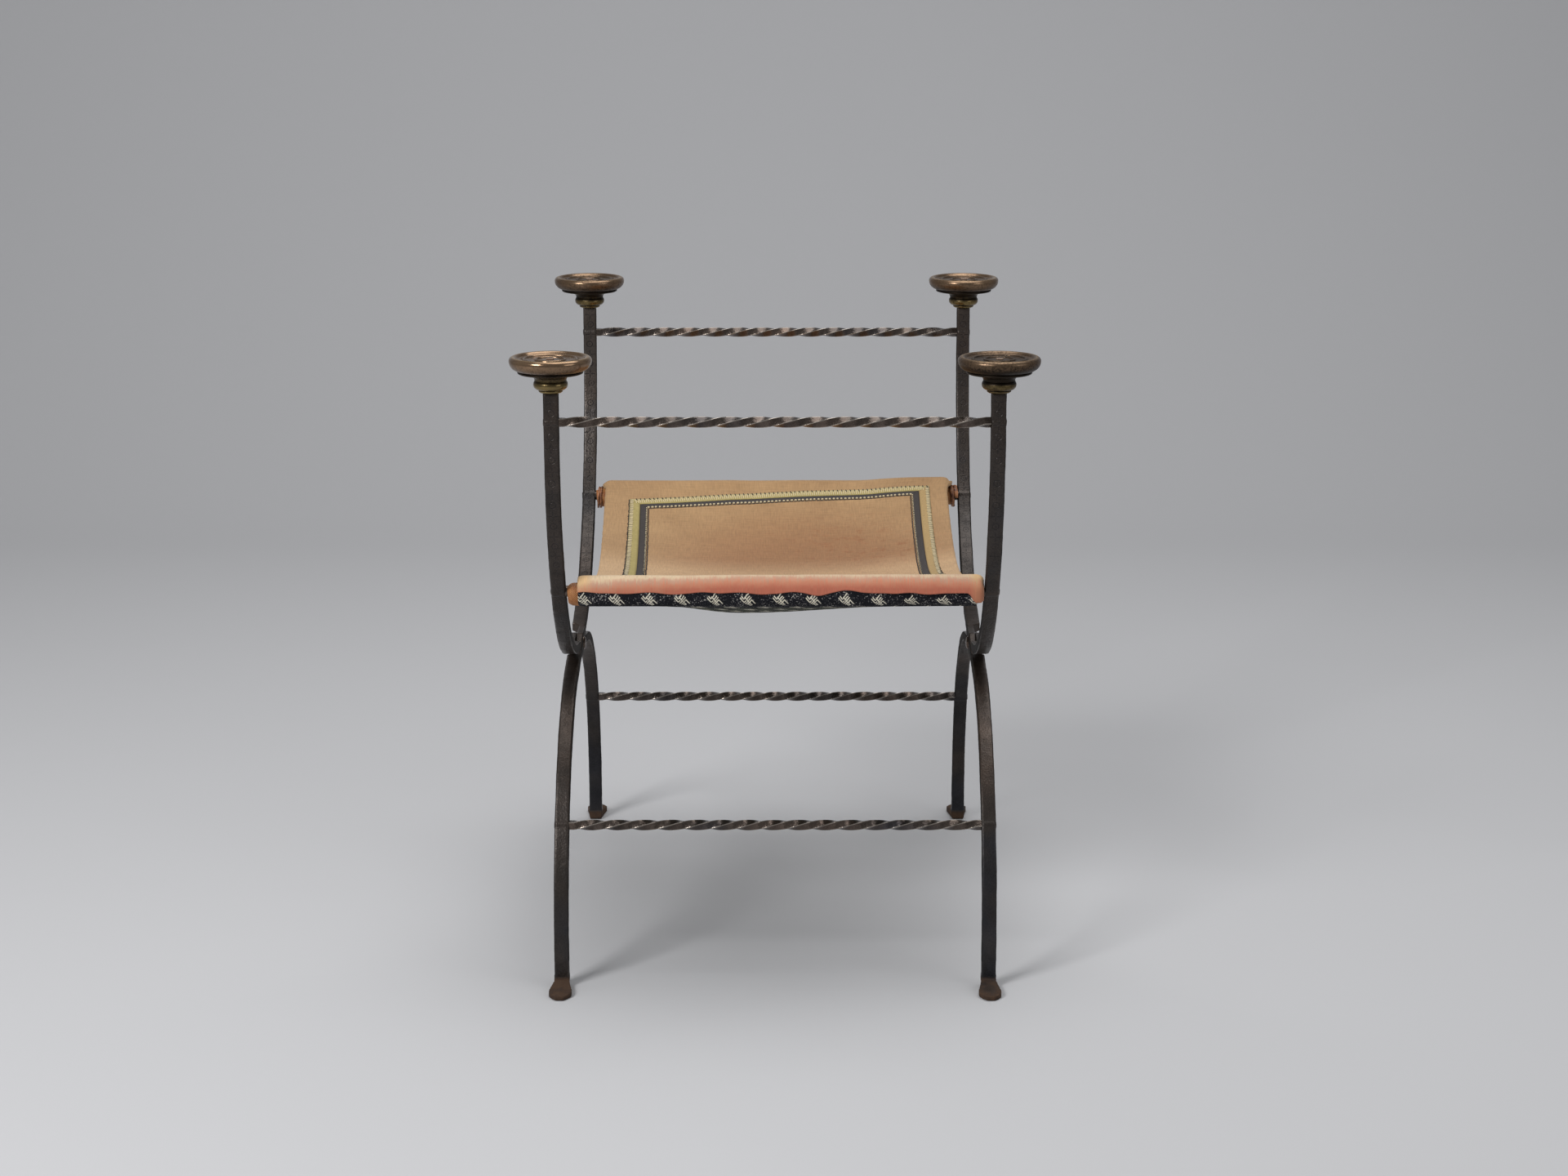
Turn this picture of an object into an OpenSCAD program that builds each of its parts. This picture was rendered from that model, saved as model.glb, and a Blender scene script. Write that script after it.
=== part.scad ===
/* [Frames] */
// Distance between the middle planes of the left and right bars
frame_w = 470; // [430:1:520]
// Distance between the middle lines of the front and rear bar tops
arm_span = 660; // [640:1:690]
// Distance between the middle lines of the front and rear lower legs
leg_span = 620; // [590:1:640]
// Height of the bar tops, where the finials sit
bar_top_z = 665; // [655:1:700]
// Height of the two pivots
pivot_z = 313; // [305:1:325]
// Radius of the upper bend, to the middle of the bar
upper_bend_r = 301; // [290:1:308]
// Radius of the lower bend, to the middle of the bar
lower_bend_r = 260; // [245:1:266]
// Slope of the bars where they cross, in degrees
cross_slope = 9.25; // [8.5:0.25:10]

/* [Bars] */
// Width of a bar, seen from the front
bar_w = 16; // [14:0.5:18]
// Thickness of a bar, seen from the side
bar_t = 11; // [10:0.5:12]
// Chamfer along the edges of every bar
bar_chamfer = 1.2; // [0.6:0.1:1.8]
// Height of the forged eye round a pivot
eye_d = 24; // [21:0.5:27]
// Distance from a pivot to where a bar has its full width again
lap_reach = 48; // [46:1:56]
// Length of the slope from the halved to the full width
lap_slope = 8; // [5:0.5:9]
// Diameter of the swelling round each hole for a cross rod
swell_d = 14; // [13:0.5:16]

/* [Feet] */
// Reach of the toe past the leg
toe_reach = 44; // [36:1:50]
// Widest part of the toe
toe_w = 25; // [22:0.5:28]
// Height of the toe where it leaves the leg
toe_root_h = 9; // [7:0.5:12]
// Height of the toe at its tip
toe_tip_h = 4.5; // [3:0.5:6]
// Radius of the heel
heel_r = 6; // [3:0.5:8]

/* [Pivots] */
// Diameter of the pivot rivet
rivet_d = 9; // [7:0.5:11]
// Diameter of the rivet head on the outside
rivet_head_d = 18; // [15:0.5:20]
// Height of the rivet head on the outside
rivet_head_h = 5; // [3:0.5:6]
// Diameter of the hammered end on the inside
rivet_end_d = 15; // [13:0.5:18]
// Height of the hammered end on the inside
rivet_end_h = 3; // [2:0.5:4]
// Gap between the two bars where they cross
lap_gap = 0.2; // [0.1:0.05:0.4]
// Clearance round the rivet
pivot_fit = 0.06; // [0.02:0.01:0.1]

/* [Twisted stretchers] */
// Side of the square bar of a stretcher
stretcher_side = 8.6; // [7:0.2:10]
// Chamfer along the edges of a stretcher
stretcher_chamfer = 0.5; // [0.3:0.1:1]
// Number of full turns between the ends of an arm stretcher
arm_stretcher_turns = 3.6; // [2:0.02:5]
// Number of full turns between the ends of a foot stretcher
foot_stretcher_turns = 3.88; // [2:0.02:5]
// Length of the plain square stub at each end
stretcher_stub = 5; // [3:0.5:15]
// Distance from the bar tops down to the two arm stretchers
arm_stretcher_drop = 31; // [24:1:38]
// Height of the two foot stretchers
foot_stretcher_z = 174; // [150:1:200]

/* [Seat rods] */
// Height of the seat rods
rod_z = 437; // [425:1:450]
// Diameter of a seat rod
rod_d = 12; // [10:0.5:14]
// Diameter of the tenons of the rods and stretchers
tenon_d = 7; // [6:0.5:8]
// Diameter of the hammered tenon ends
tenon_end_d = 9.5; // [8.5:0.5:12]
// Height of the hammered tenon ends
tenon_end_h = 1.2; // [0.8:0.2:2]
// Diameter of the leather wound on a seat rod
wrap_d = 21.4; // [18:0.2:23]
// Gap between the wound leather and a bar
wrap_end_gap = 1; // [0.5:0.5:3]
// Clearance round tenons, tangs and wrapped rods
fit_gap = 0.1; // [0.05:0.05:0.2]

/* [Lashings] */
// Diameter of the thong tied round the ends of the rear rod
thong_d = 2.6; // [2:0.2:2.6]
// Turns of the thong
thong_turns = 2; // [1:1:2]
// Gap between one turn of the thong and the next
thong_gap = 0.5; // [0.45:0.05:0.7]

/* [Seat cloth] */
// Space between the cloth and a bar on the front rod, if it were the same on both sides
cloth_side_front = 7; // [6.5:0.5:25]
// Space between the cloth and a bar on the rear rod, if it were the same on both sides
cloth_side_rear = 11; // [10.5:0.5:25]
// How far the cloth sits to the right on the front rod
cloth_shift_front = 6; // [-6:0.5:6]
// How far the cloth sits to the right on the rear rod
cloth_shift_rear = 0.5; // [-0.5:0.5:0.5]
// How far each side of the cloth draws in, half way along
waist = 13; // [0:1:25]
// How much more the sides draw in towards the front than towards the rear
waist_lean = 0.7; // [-1:0.1:1]
// Sag of the cloth in the middle of the seat
mid_sag = 47; // [35:1:70]
// Sag of the cloth along its two sides
edge_sag = 30; // [20:1:35]
// Outer diameter of the lining sleeve round a rod
sleeve_d = 30; // [26:0.5:32]
// Thickness of the lining between the rods
lining_t = 2.4; // [1.5:0.1:4]
// How far the lining hangs below the velvet in the middle of the seat
lining_mid_drop = 32; // [15:1:45]
// How far the lining hangs below the velvet half way along its two sides
lining_edge_drop = 8; // [5:1:15]
// Thickness of the velvet
velvet_t = 2; // [1.5:0.1:3]
// Gap between layers of cloth
cloth_gap = 0.3; // [0.2:0.05:0.5]
// Angle above level at which the velvet ends in its hem, outside each rod
hem_angle = 5; // [-30:1:30]

/* [Seat border] */
// Width of the tape that frames the seat
tape_w = 13; // [10:0.5:16]
// Width of the dark ribbon inside the tape
ribbon_w = 8; // [6:0.5:10]
// Thickness of the tape and the ribbon
trim_t = 0.8; // [0.5:0.1:1.2]
// Distance from the sides of the cloth to the tape
border_side = 26; // [15:1:50]
// Distance from the rolls to the tape
border_end = 14; // [8:1:40]
// How far the border sits to the right on the cloth
border_shift = 4; // [-6:0.5:6]

/* [Finials] */
// Diameter of the rim of a finial
finial_d = 87; // [80:1:92]
// Height of the underside of the upper disc over the bar
finial_neck_h = 17.5; // [16:0.5:20]
// Height of the rim of the disc
finial_rim_h = 14.4; // [13:0.2:16]
// Diameter of the bead under the disc
finial_bead_d = 36.5; // [34:0.5:38]
// Diameter of the tang that holds a finial
tang_d = 7; // [6:0.5:8]

/* [Hidden] */
$fn = 96;

IRON = "#45413e";
BRONZE = "#8a6a42";
LEATHER = "#b9743c";
THONG = "#7a4630";
NAVY = "#2b2d3c";
VELVET = "#c2a176";
TAPE = "#b7a878";
RIBBON = "#3a342f";

bar_x = frame_w / 2;
arm_y = arm_span / 2;
leg_y = leg_span / 2;

// Middles of the two bends: each bend is tangent to the slope through the pivot
upper_cy = arm_y - upper_bend_r;
upper_cz = pivot_z + upper_cy * tan(cross_slope) + upper_bend_r / cos(cross_slope);
upper_run = (upper_cy + upper_bend_r * sin(cross_slope)) / cos(cross_slope);
lower_cy = leg_y - lower_bend_r;
lower_cz = pivot_z - lower_cy * tan(cross_slope) - lower_bend_r / cos(cross_slope);
lower_run = (lower_cy + lower_bend_r * sin(cross_slope)) / cos(cross_slope);

// Distance from the pivot plane to the middle line of a bar, at a height
function upper_y(z) = z > upper_cz ? arm_y : upper_cy + sqrt(pow(upper_bend_r, 2) - pow(upper_cz - z, 2));
function lower_y(z) = z < lower_cz ? leg_y : lower_cy + sqrt(pow(lower_bend_r, 2) - pow(z - lower_cz, 2));

arm_stretcher_z = bar_top_z - arm_stretcher_drop;
arm_stretcher_y = upper_y(arm_stretcher_z);
foot_stretcher_y = lower_y(foot_stretcher_z);
rod_y = upper_y(rod_z);
clear_w = frame_w - bar_w;
wrap_l = clear_w - 2 * wrap_end_gap;
cloth_w_front = clear_w - 2 * cloth_side_front;
cloth_w_rear = clear_w - 2 * cloth_side_rear;
foot_h = toe_root_h + 6;
// How far the runs of a bar reach into each other, where they join, and how much slimmer the straight
// ones are, so that no face of one lies in a face of the next
weld = 0.02;
slim = 0.04;

// Cloth: the velvet leaves the roll where its slope and the roll's are the same
sleeve_r = sleeve_d / 2;
velvet_in_r = sleeve_r + cloth_gap;
roll_r = velvet_in_r + velvet_t;
lead_angle = atan(2 * mid_sag / rod_y);
lead_y = rod_y - roll_r * sin(lead_angle) - cloth_gap;
lead_z = rod_z + roll_r * cos(lead_angle);

// A bar's section, and points along an arc
module bar_section(a, b, c = bar_chamfer) {
    polygon([[a / 2 - c, -b / 2], [a / 2, -b / 2 + c], [a / 2, b / 2 - c], [a / 2 - c, b / 2],
        [-a / 2 + c, b / 2], [-a / 2, b / 2 - c], [-a / 2, -b / 2 + c], [-a / 2 + c, -b / 2]]);
}

function arc(cx, cy, r, from, to, steps) =
    [for (i = [0:steps]) let (a = from + (to - from) * i / steps) [cx + r * cos(a), cy + r * sin(a)]];

// Turns a shape drawn in the plane of Y and Z, so that its height runs along X
module along_x() {
    rotate([90, 0, 90]) children();
}

module bend(r, from, to) {
    along_x() rotate([0, 0, from]) rotate_extrude(angle = to - from) translate([r, 0])
        bar_section(bar_t, bar_w);
}

// A straight run along Z
module run(length) {
    linear_extrude(length) bar_section(bar_w - slim, bar_t - slim);
}

module slope_run(from, to) {
    translate([0, from, 0]) rotate([-90, 0, 0]) run(to - from);
}

module dome(d, h) {
    r = (d * d / 4 + h * h) / (2 * h);
    intersection() {
        translate([0, 0, h - r]) sphere(r);
        translate([-d, -d, 0]) cube([2 * d, 2 * d, h]);
    }
}

// The halved crossing: an eye that tapers to the bar, kept on one side of the lap
module crossing(side) {
    eye_r = eye_d / 2;
    reach = lap_reach - lap_slope - 4;
    touch = acos((eye_r - bar_t / 2) / reach) - 4;
    inner = side * lap_gap / 2;
    outer = side * bar_w / 2;
    intersection() {
        translate([-bar_w, 0, 0]) along_x() linear_extrude(2 * bar_w) {
            circle(eye_r);
            for (s = [-1, 1]) scale([s, 1]) polygon([[0, -eye_r * 0.99],
                [eye_r * cos(touch), -eye_r * sin(touch)], [reach, -bar_t / 2],
                [lap_reach, -bar_t / 2], [lap_reach, bar_t / 2], [reach, bar_t / 2],
                [eye_r * cos(touch), eye_r * sin(touch)], [0, eye_r * 0.99]]);
        }
        translate([0, 0, -eye_d]) linear_extrude(2 * eye_d)
            polygon([[outer, -lap_reach], [-outer, -lap_reach], [inner, -lap_reach + lap_slope],
                [inner, lap_reach - lap_slope], [-outer, lap_reach], [outer, lap_reach]]);
    }
}

// The foot: the end of the leg spread outwards into a toe like a spade, with a blunt point
module foot() {
    tip = bar_t / 2 + toe_reach;
    wide_y = bar_t / 2 + 0.6 * toe_reach;
    intersection() {
        linear_extrude(foot_h) {
            bar_section(bar_w, bar_t);
            for (s = [-1, 1]) scale([s, 1]) polygon([[-0.1, 0], [bar_w / 2, 0], [bar_w / 2 + 0.5, bar_t / 2],
                [0.47 * toe_w, wide_y - 5], [0.5 * toe_w, wide_y], [0.48 * toe_w, wide_y + 5],
                [0.36 * toe_w, tip - 7], [0.12 * toe_w, tip - 0.6], [0, tip], [-0.1, tip]]);
        }
        translate([-toe_w, 0, 0]) along_x() linear_extrude(2 * toe_w)
            polygon(concat([[bar_t / 2, foot_h], [-bar_t / 2, foot_h]],
                arc(heel_r - bar_t / 2, heel_r, heel_r, 180, 270, 6),
                [[tip, 0], [tip, toe_tip_h], [bar_t / 2, toe_root_h]]));
    }
}

module cross_hole(y, z, d) {
    translate([-bar_w, y, z]) rotate([0, 90, 0]) cylinder(d = d, h = 2 * bar_w);
}

module swelling(y, z) {
    translate([0, y, z]) rotate([0, 90, 0]) cylinder(d = swell_d, h = bar_w - 2 * bar_chamfer, center = true);
}

// One bar: upper half towards +Y, lower half towards -Y, halved on one side at the pivot
module bar(side) {
    color(IRON) difference() {
        union() {
            translate([0, 0, pivot_z]) rotate([cross_slope, 0, 0]) {
                crossing(side);
                slope_run(lap_reach - weld, upper_run + weld);
                slope_run(-lower_run - weld, weld - lap_reach);
            }
            translate([0, upper_cy, upper_cz]) bend(upper_bend_r, cross_slope - 90, 0);
            translate([0, arm_y, upper_cz - weld]) run(bar_top_z - upper_cz + weld);
            translate([0, arm_y, bar_top_z - weld]) tang();
            swelling(arm_stretcher_y, arm_stretcher_z);
            swelling(rod_y, rod_z);
            mirror([0, 1, 0]) {
                translate([0, lower_cy, lower_cz]) bend(lower_bend_r, 0, 90 - cross_slope);
                translate([0, leg_y, foot_h - weld]) run(lower_cz - foot_h + 2 * weld);
                translate([0, leg_y, 0]) foot();
                swelling(foot_stretcher_y, foot_stretcher_z);
            }
        }
        cross_hole(0, pivot_z, rivet_d + 2 * pivot_fit);
        cross_hole(arm_stretcher_y, arm_stretcher_z, tenon_d + 2 * fit_gap);
        cross_hole(rod_y, rod_z, tenon_d + 2 * fit_gap);
        cross_hole(-foot_stretcher_y, foot_stretcher_z, tenon_d + 2 * fit_gap);
    }
}

// The tang goes up through the finial and is hammered over it
finial_bore_z = finial_neck_h + finial_rim_h + 4.1;
module tang() {
    cylinder(d = tang_d, h = finial_bore_z + weld);
    translate([0, 0, finial_bore_z + weld]) dome(tang_d + 3, 1.8);
}

module outer_bar(right) {
    translate([right ? bar_x : -bar_x, 0, 0]) mirror([0, 1, 0]) bar(right ? 1 : -1);
}

module inner_bar(right) {
    translate([right ? bar_x : -bar_x, 0, 0]) bar(right ? -1 : 1);
}

module pivot_rivet(side) {
    end_x = bar_w / 2;
    color(IRON) translate([side * bar_x, 0, pivot_z]) rotate([0, side * 90, 0]) {
        translate([0, 0, -end_x - lap_gap]) cylinder(d = rivet_d, h = bar_w + lap_gap);
        translate([0, 0, end_x]) dome(rivet_head_d, rivet_head_h);
        translate([0, 0, -end_x - lap_gap]) mirror([0, 0, 1]) dome(rivet_end_d, rivet_end_h);
    }
}

// The tenon at one end of a rod or stretcher, through the bar and hammered over outside it
module tenons() {
    for (s = [-1, 1]) scale([1, 1, s]) translate([0, 0, clear_w / 2]) {
        translate([0, 0, -weld]) cylinder(d = tenon_d, h = bar_w + weld);
        translate([0, 0, bar_w]) dome(tenon_end_d, tenon_end_h);
    }
}

module stretcher_section() {
    bar_section(stretcher_side, stretcher_side, stretcher_chamfer);
}

module stretcher(y, z, turns) {
    twist_l = clear_w - 2 * stretcher_stub;
    turned = 360 * turns;
    color(IRON) translate([0, y, z]) rotate([0, 90, 0]) {
        tenons();
        translate([0, 0, -clear_w / 2]) linear_extrude(stretcher_stub + weld) stretcher_section();
        translate([0, 0, -twist_l / 2])
            linear_extrude(twist_l, twist = turned, slices = round(turned / 12), $fn = 4) stretcher_section();
        translate([0, 0, twist_l / 2 - weld]) rotate([0, 0, -turned])
            linear_extrude(stretcher_stub + weld) stretcher_section();
    }
}

module arm_stretcher(side) {
    stretcher(side * arm_stretcher_y, arm_stretcher_z, arm_stretcher_turns);
}

module foot_stretcher(side) {
    stretcher(side * foot_stretcher_y, foot_stretcher_z, foot_stretcher_turns);
}

module seat_rod(y) {
    color(IRON) translate([0, y, rod_z]) rotate([0, 90, 0]) {
        tenons();
        cylinder(d = rod_d, h = clear_w, center = true);
    }
}

// Turned finial: collar, bead, cove, lower disc and a rolled rim round a ringed dish
function finial_profile(h, rim_r) = concat(
    [[tang_d / 2 + fit_gap, 0], [8.5, 0], [12.4, 1.8], [12.9, 2.6], [12.6, 3.6]],
    arc(finial_bead_d / 2 - 5.6, 9.3, 5.6, -68, 52, 8),
    arc(finial_bead_d / 2 + 2.6, h - 3.4, 4, 190, 108, 6),
    [[rim_r - 10, h + 3.6], [rim_r - 8.9, h + 4.4], [rim_r - 8.9, h + 5.6], [rim_r - 9.6, h + 6.2]],
    arc(rim_r - 10.5, h + 17, 10.5, -76, 0, 9),
    arc(rim_r - 4.3, h + 17, 4.3, 12, 150, 9),
    [[rim_r - 10, h + 18.6], [30, h + 18.4]],
    arc(28, h + 18.2, 1.7, 10, 170, 5),
    [[25.6, h + 18.2], [17.8, h + 18]],
    arc(15.6, h + 17.8, 1.6, 10, 170, 5),
    [[13.4, h + 18], [8, finial_bore_z + 0.2], [7, finial_bore_z], [tang_d / 2 + fit_gap, finial_bore_z]]);

module finial(x, y) {
    h = finial_neck_h + finial_rim_h - 14.4;
    color(BRONZE) translate([x, y, bar_top_z]) rotate_extrude() polygon(finial_profile(h, finial_d / 2));
}

module rod_wrap(y) {
    color(LEATHER) translate([0, y, rod_z]) rotate([0, 90, 0]) difference() {
        cylinder(d = wrap_d, h = wrap_l, center = true);
        cylinder(d = rod_d + 2 * fit_gap, h = clear_w, center = true);
    }
}

// A thong wound round the end of the rear wrap, as one unbroken tube with straight ends
thong_r = wrap_d / 2 + thong_d / 2 + cloth_gap;
thong_pitch = thong_d + thong_gap;
module lashing(side) {
    sides = 6;
    steps = 24 * thong_turns;
    wound = [for (i = [0:steps]) let (a = 360 * i / 24) [thong_pitch * i / 24, thong_r, a, 0]];
    route = concat([wound[0] + [0, 0, 0, -thong_d]], wound, [wound[steps] + [0, 0, 0, thong_d]]);
    ring = [for (p = route) for (k = [0:sides - 1]) let (a = p[2], b = 360 * k / sides,
        r = p[1] + thong_d / 2 * cos(b))
        [p[0] + thong_d / 2 * sin(b), r * cos(a) - p[3] * sin(a), r * sin(a) + p[3] * cos(a)]];
    last = len(route) - 1;
    walls = [for (i = [0:last - 1]) for (k = [0:sides - 1]) let (p = i * sides + k,
        q = i * sides + (k + 1) % sides) each [[p, q, q + sides], [p, q + sides, p + sides]]];
    ends = concat([for (k = [1:sides - 2]) [0, k + 1, k]],
        [for (k = [1:sides - 2]) [last * sides, last * sides + k, last * sides + k + 1]]);
    middles = [for (p = wound) [p[0], p[1] * cos(p[2]), p[1] * sin(p[2])]];
    apart = [for (i = [0:steps - 13]) for (k = [i + 13:steps]) norm(middles[k] - middles[i])];
    echo(least_gap = min(apart) - thong_d);
    start_x = wrap_l / 2 - thong_d / 2 - thong_pitch * thong_turns;
    color(THONG) scale([side, 1, 1]) translate([start_x, rod_y, rod_z]) polyhedron(ring, concat(walls, ends));
}

module lining_sleeve(y, shift, w) {
    color(NAVY) translate([shift, y, rod_z]) rotate([0, 90, 0]) difference() {
        cylinder(r = sleeve_r, h = w, center = true);
        cylinder(d = wrap_d + 2 * fit_gap, h = 2 * w, center = true);
    }
}

// The end of the velvet, folded over the roll and down to its hem
module velvet_fold(side, shift, w) {
    swept = 90 + lead_angle - hem_angle;
    color(VELVET) translate([shift - w / 2, side * rod_y, rod_z]) scale([1, side, 1])
        along_x() rotate([0, 0, hem_angle]) rotate_extrude(angle = swept)
            translate([velvet_in_r, 0]) square([velvet_t, w]);
}

// The hanging cloth between the rolls: its sides, its height, and the roll under it
function between(front, rear, y) = (rear + front) / 2 + (rear - front) / 2 * y / lead_y;
function shift_at(y) = between(cloth_shift_front, cloth_shift_rear, y);
function half_w(y) = let (u = y / lead_y)
    between(cloth_w_front, cloth_w_rear, y) / 2 - waist * (1 - pow(u, 4)) * (1 - waist_lean * u);
function sag_at(x) = edge_sag + (mid_sag - edge_sag) * (1 - pow(2 * x / cloth_w_front, 2));
function top_z(x, y) = lead_z - sag_at(x) * (1 - pow(y / lead_y, 2));
function roll_z(y, r) = let (d = rod_y - abs(y)) abs(d) < r ? rod_z + sqrt(r * r - d * d) : 0;
function velvet_low(x, y) = max(top_z(x, y) - velvet_t, roll_z(y, velvet_in_r));

// The lining hangs from the undersides of the rods, and leaves each where its slope and the sleeve's are the same
function drop_at(x) = lining_edge_drop
    + (lining_mid_drop - lining_edge_drop) * (1 - pow(2 * x / cloth_w_front, 2));
function lining_mid(x) = top_z(x, 0) - velvet_t - drop_at(x);
function under_angle(x) = atan(2 * (rod_z - velvet_in_r - lining_mid(x)) / rod_y);
function under_y(x) = rod_y + velvet_in_r * sin(under_angle(x));
function under_z(x) = rod_z - velvet_in_r * cos(under_angle(x));
function lining_high(x, y) = lining_mid(x) + (under_z(x) - lining_mid(x)) * pow(y / under_y(x), 2);
function lining_low(x, y) = lining_high(x, y) - lining_t;

// A closed slab between an upper and a lower face, over a grid of places
module slab(grid, high, low) {
    rows = len(grid);
    n = len(grid[0]);
    points = [for (face_z = [high, low]) for (row = grid) for (p = row) [p[0], p[1], face_z(p[0], p[1])]];
    function quad(a, b, c, d) = [[a, b, c], [a, c, d]];
    skins = [for (i = [0:rows - 2]) for (j = [0:n - 2]) let (t = i * n + j, u = rows * n + t)
        each concat(quad(t, t + n, t + n + 1, t + 1), quad(u, u + 1, u + n + 1, u + n))];
    ends = [for (j = [0:n - 2]) let (t = j, u = rows * n + j, t2 = (rows - 1) * n + j, u2 = rows * n + t2)
        each concat(quad(t, t + 1, u + 1, u), quad(t2 + 1, t2, u2, u2 + 1))];
    sides = [for (i = [0:rows - 2]) let (t = i * n, u = rows * n + t, t2 = t + n - 1, u2 = u + n - 1)
        each concat(quad(t + n, t, u, u + n), quad(t2, t2 + n, u2 + n, u2))];
    polyhedron(points, concat(skins, ends, sides));
}

function span_grid(end_y, rows, columns) =
    [for (i = [0:rows]) let (y = end_y * (2 * i / rows - 1))
        [for (j = [0:columns]) [shift_at(y) + half_w(y) * (2 * j / columns - 1), y]]];

module velvet_span() {
    color(VELVET) slab(span_grid(lead_y, 22, 12), function(x, y) top_z(x, y),
        function(x, y) velvet_low(x, y));
}

module lining_span() {
    color(NAVY) slab(span_grid(rod_y, 24, 12), function(x, y) lining_high(x, y),
        function(x, y) lining_low(x, y));
}

// A strip sewn flat on the velvet
module strip(grid) {
    slab(grid, function(x, y) top_z(x, y) + cloth_gap + trim_t, function(x, y) top_z(x, y) + cloth_gap);
}

// A border of four strips, as far from the sides of the cloth all the way
module border(side_inset, end_inset, strip_w) {
    far = lead_y - end_inset;
    butt = far - strip_w - cloth_gap;
    function middle(y) = shift_at(y) + border_shift;
    for (y0 = [-far, far - strip_w])
        strip([for (y = [y0, y0 + strip_w / 2, y0 + strip_w])
            [for (j = [-6:6]) [middle(y) + (half_w(y) - side_inset) * j / 6, y]]]);
    for (s = [-1, 1])
        strip([for (i = [-8:8]) let (y = butt * i / 8, reach = half_w(y) - side_inset - strip_w / 2)
            [for (k = [-0.5, 0.5]) [middle(y) + s * reach + k * strip_w, y]]]);
}

module border_tape() {
    color(TAPE) border(border_side, border_end, tape_w);
}

module border_ribbon() {
    inset = tape_w + cloth_gap;
    color(RIBBON) border(border_side + inset, border_end + inset, ribbon_w);
}

outer_bar(false);  // outer_bar_left
outer_bar(true);  // outer_bar_right
inner_bar(false);  // inner_bar_left
inner_bar(true);  // inner_bar_right
pivot_rivet(-1);  // pivot_rivet_left
pivot_rivet(1);  // pivot_rivet_right
arm_stretcher(-1);  // arm_stretcher_front
arm_stretcher(1);  // arm_stretcher_rear
foot_stretcher(-1);  // foot_stretcher_front
foot_stretcher(1);  // foot_stretcher_rear
finial(-bar_x, -arm_y);  // finial_front_left
finial(bar_x, -arm_y);  // finial_front_right
finial(-bar_x, arm_y);  // finial_rear_left
finial(bar_x, arm_y);  // finial_rear_right
seat_rod(-rod_y);  // seat_rod_front
seat_rod(rod_y);  // seat_rod_rear
rod_wrap(-rod_y);  // rod_wrap_front
rod_wrap(rod_y);  // rod_wrap_rear
lashing(-1);  // lashing_left
lashing(1);  // lashing_right
lining_sleeve(-rod_y, cloth_shift_front, cloth_w_front);  // lining_sleeve_front
lining_sleeve(rod_y, cloth_shift_rear, cloth_w_rear);  // lining_sleeve_rear
lining_span();
velvet_fold(-1, cloth_shift_front, cloth_w_front);  // velvet_fold_front
velvet_fold(1, cloth_shift_rear, cloth_w_rear);  // velvet_fold_rear
velvet_span();
border_tape();
border_ribbon();
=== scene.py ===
"""An antique folding stool of wrought iron, dressed piece by piece in the order in which it is put together."""

import math

import bmesh
import bpy
from mathutils import Matrix, Vector, noise


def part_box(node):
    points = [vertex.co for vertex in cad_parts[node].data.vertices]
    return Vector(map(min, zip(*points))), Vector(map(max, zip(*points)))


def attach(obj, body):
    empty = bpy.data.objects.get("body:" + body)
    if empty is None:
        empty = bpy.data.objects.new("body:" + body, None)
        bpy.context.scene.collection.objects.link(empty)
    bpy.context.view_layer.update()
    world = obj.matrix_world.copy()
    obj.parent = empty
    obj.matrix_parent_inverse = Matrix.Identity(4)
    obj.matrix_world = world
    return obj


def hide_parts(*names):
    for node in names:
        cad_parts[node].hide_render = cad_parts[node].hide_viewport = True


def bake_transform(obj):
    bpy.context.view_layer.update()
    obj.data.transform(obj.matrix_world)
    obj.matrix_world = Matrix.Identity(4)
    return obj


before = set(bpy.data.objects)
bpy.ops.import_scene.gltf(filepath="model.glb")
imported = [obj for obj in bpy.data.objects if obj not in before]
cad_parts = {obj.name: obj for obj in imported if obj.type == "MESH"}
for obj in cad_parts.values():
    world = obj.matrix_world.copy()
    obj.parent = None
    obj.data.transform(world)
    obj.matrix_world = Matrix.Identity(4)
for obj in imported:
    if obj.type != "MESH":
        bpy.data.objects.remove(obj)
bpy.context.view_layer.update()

# Wrought-iron bars
# Four S-shaped bars, each forged from flat iron: a tang and a straight top, two bends, a halved eye at the
# pivot and a foot spread into a toe. Edges are worn soft, and the upper halves are stamped with rings and crosses.
MM = 0.001
finial_low, finial_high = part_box("finial_front_right")
rod_low, rod_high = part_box("seat_rod_rear")
rivet_low, rivet_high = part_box("pivot_rivet_right")
arm_low, arm_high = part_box("arm_stretcher_rear")
leg_low, leg_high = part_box("foot_stretcher_rear")
bar_x = (finial_low.x + finial_high.x) / 2
arm_y = -(finial_low.y + finial_high.y) / 2
bar_top_z = finial_low.z
pivot_z = (rivet_low.z + rivet_high.z) / 2
rod_y = (rod_low.y + rod_high.y) / 2
rod_z = (rod_low.z + rod_high.z) / 2
bar_w = 16 * MM
bar_t = 11 * MM
chamfer = 1.4 * MM
upper_r = 301 * MM
lower_r = 260 * MM
slope = math.radians(9.25)
toe_reach = 44 * MM
eye_r = 12 * MM
lap_reach = 48 * MM
heel_r = 6 * MM
tang_head_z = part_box("outer_bar_right")[1].z
leg_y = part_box("outer_bar_right")[1].y - toe_reach - bar_t / 2
upper_cy = arm_y - upper_r
upper_cz = pivot_z + upper_cy * math.tan(slope) + upper_r / math.cos(slope)
lower_cy = leg_y - lower_r
lower_cz = pivot_z - lower_cy * math.tan(slope) - lower_r / math.cos(slope)
upper_run = (upper_cy + upper_r * math.sin(slope)) / math.cos(slope)
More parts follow.
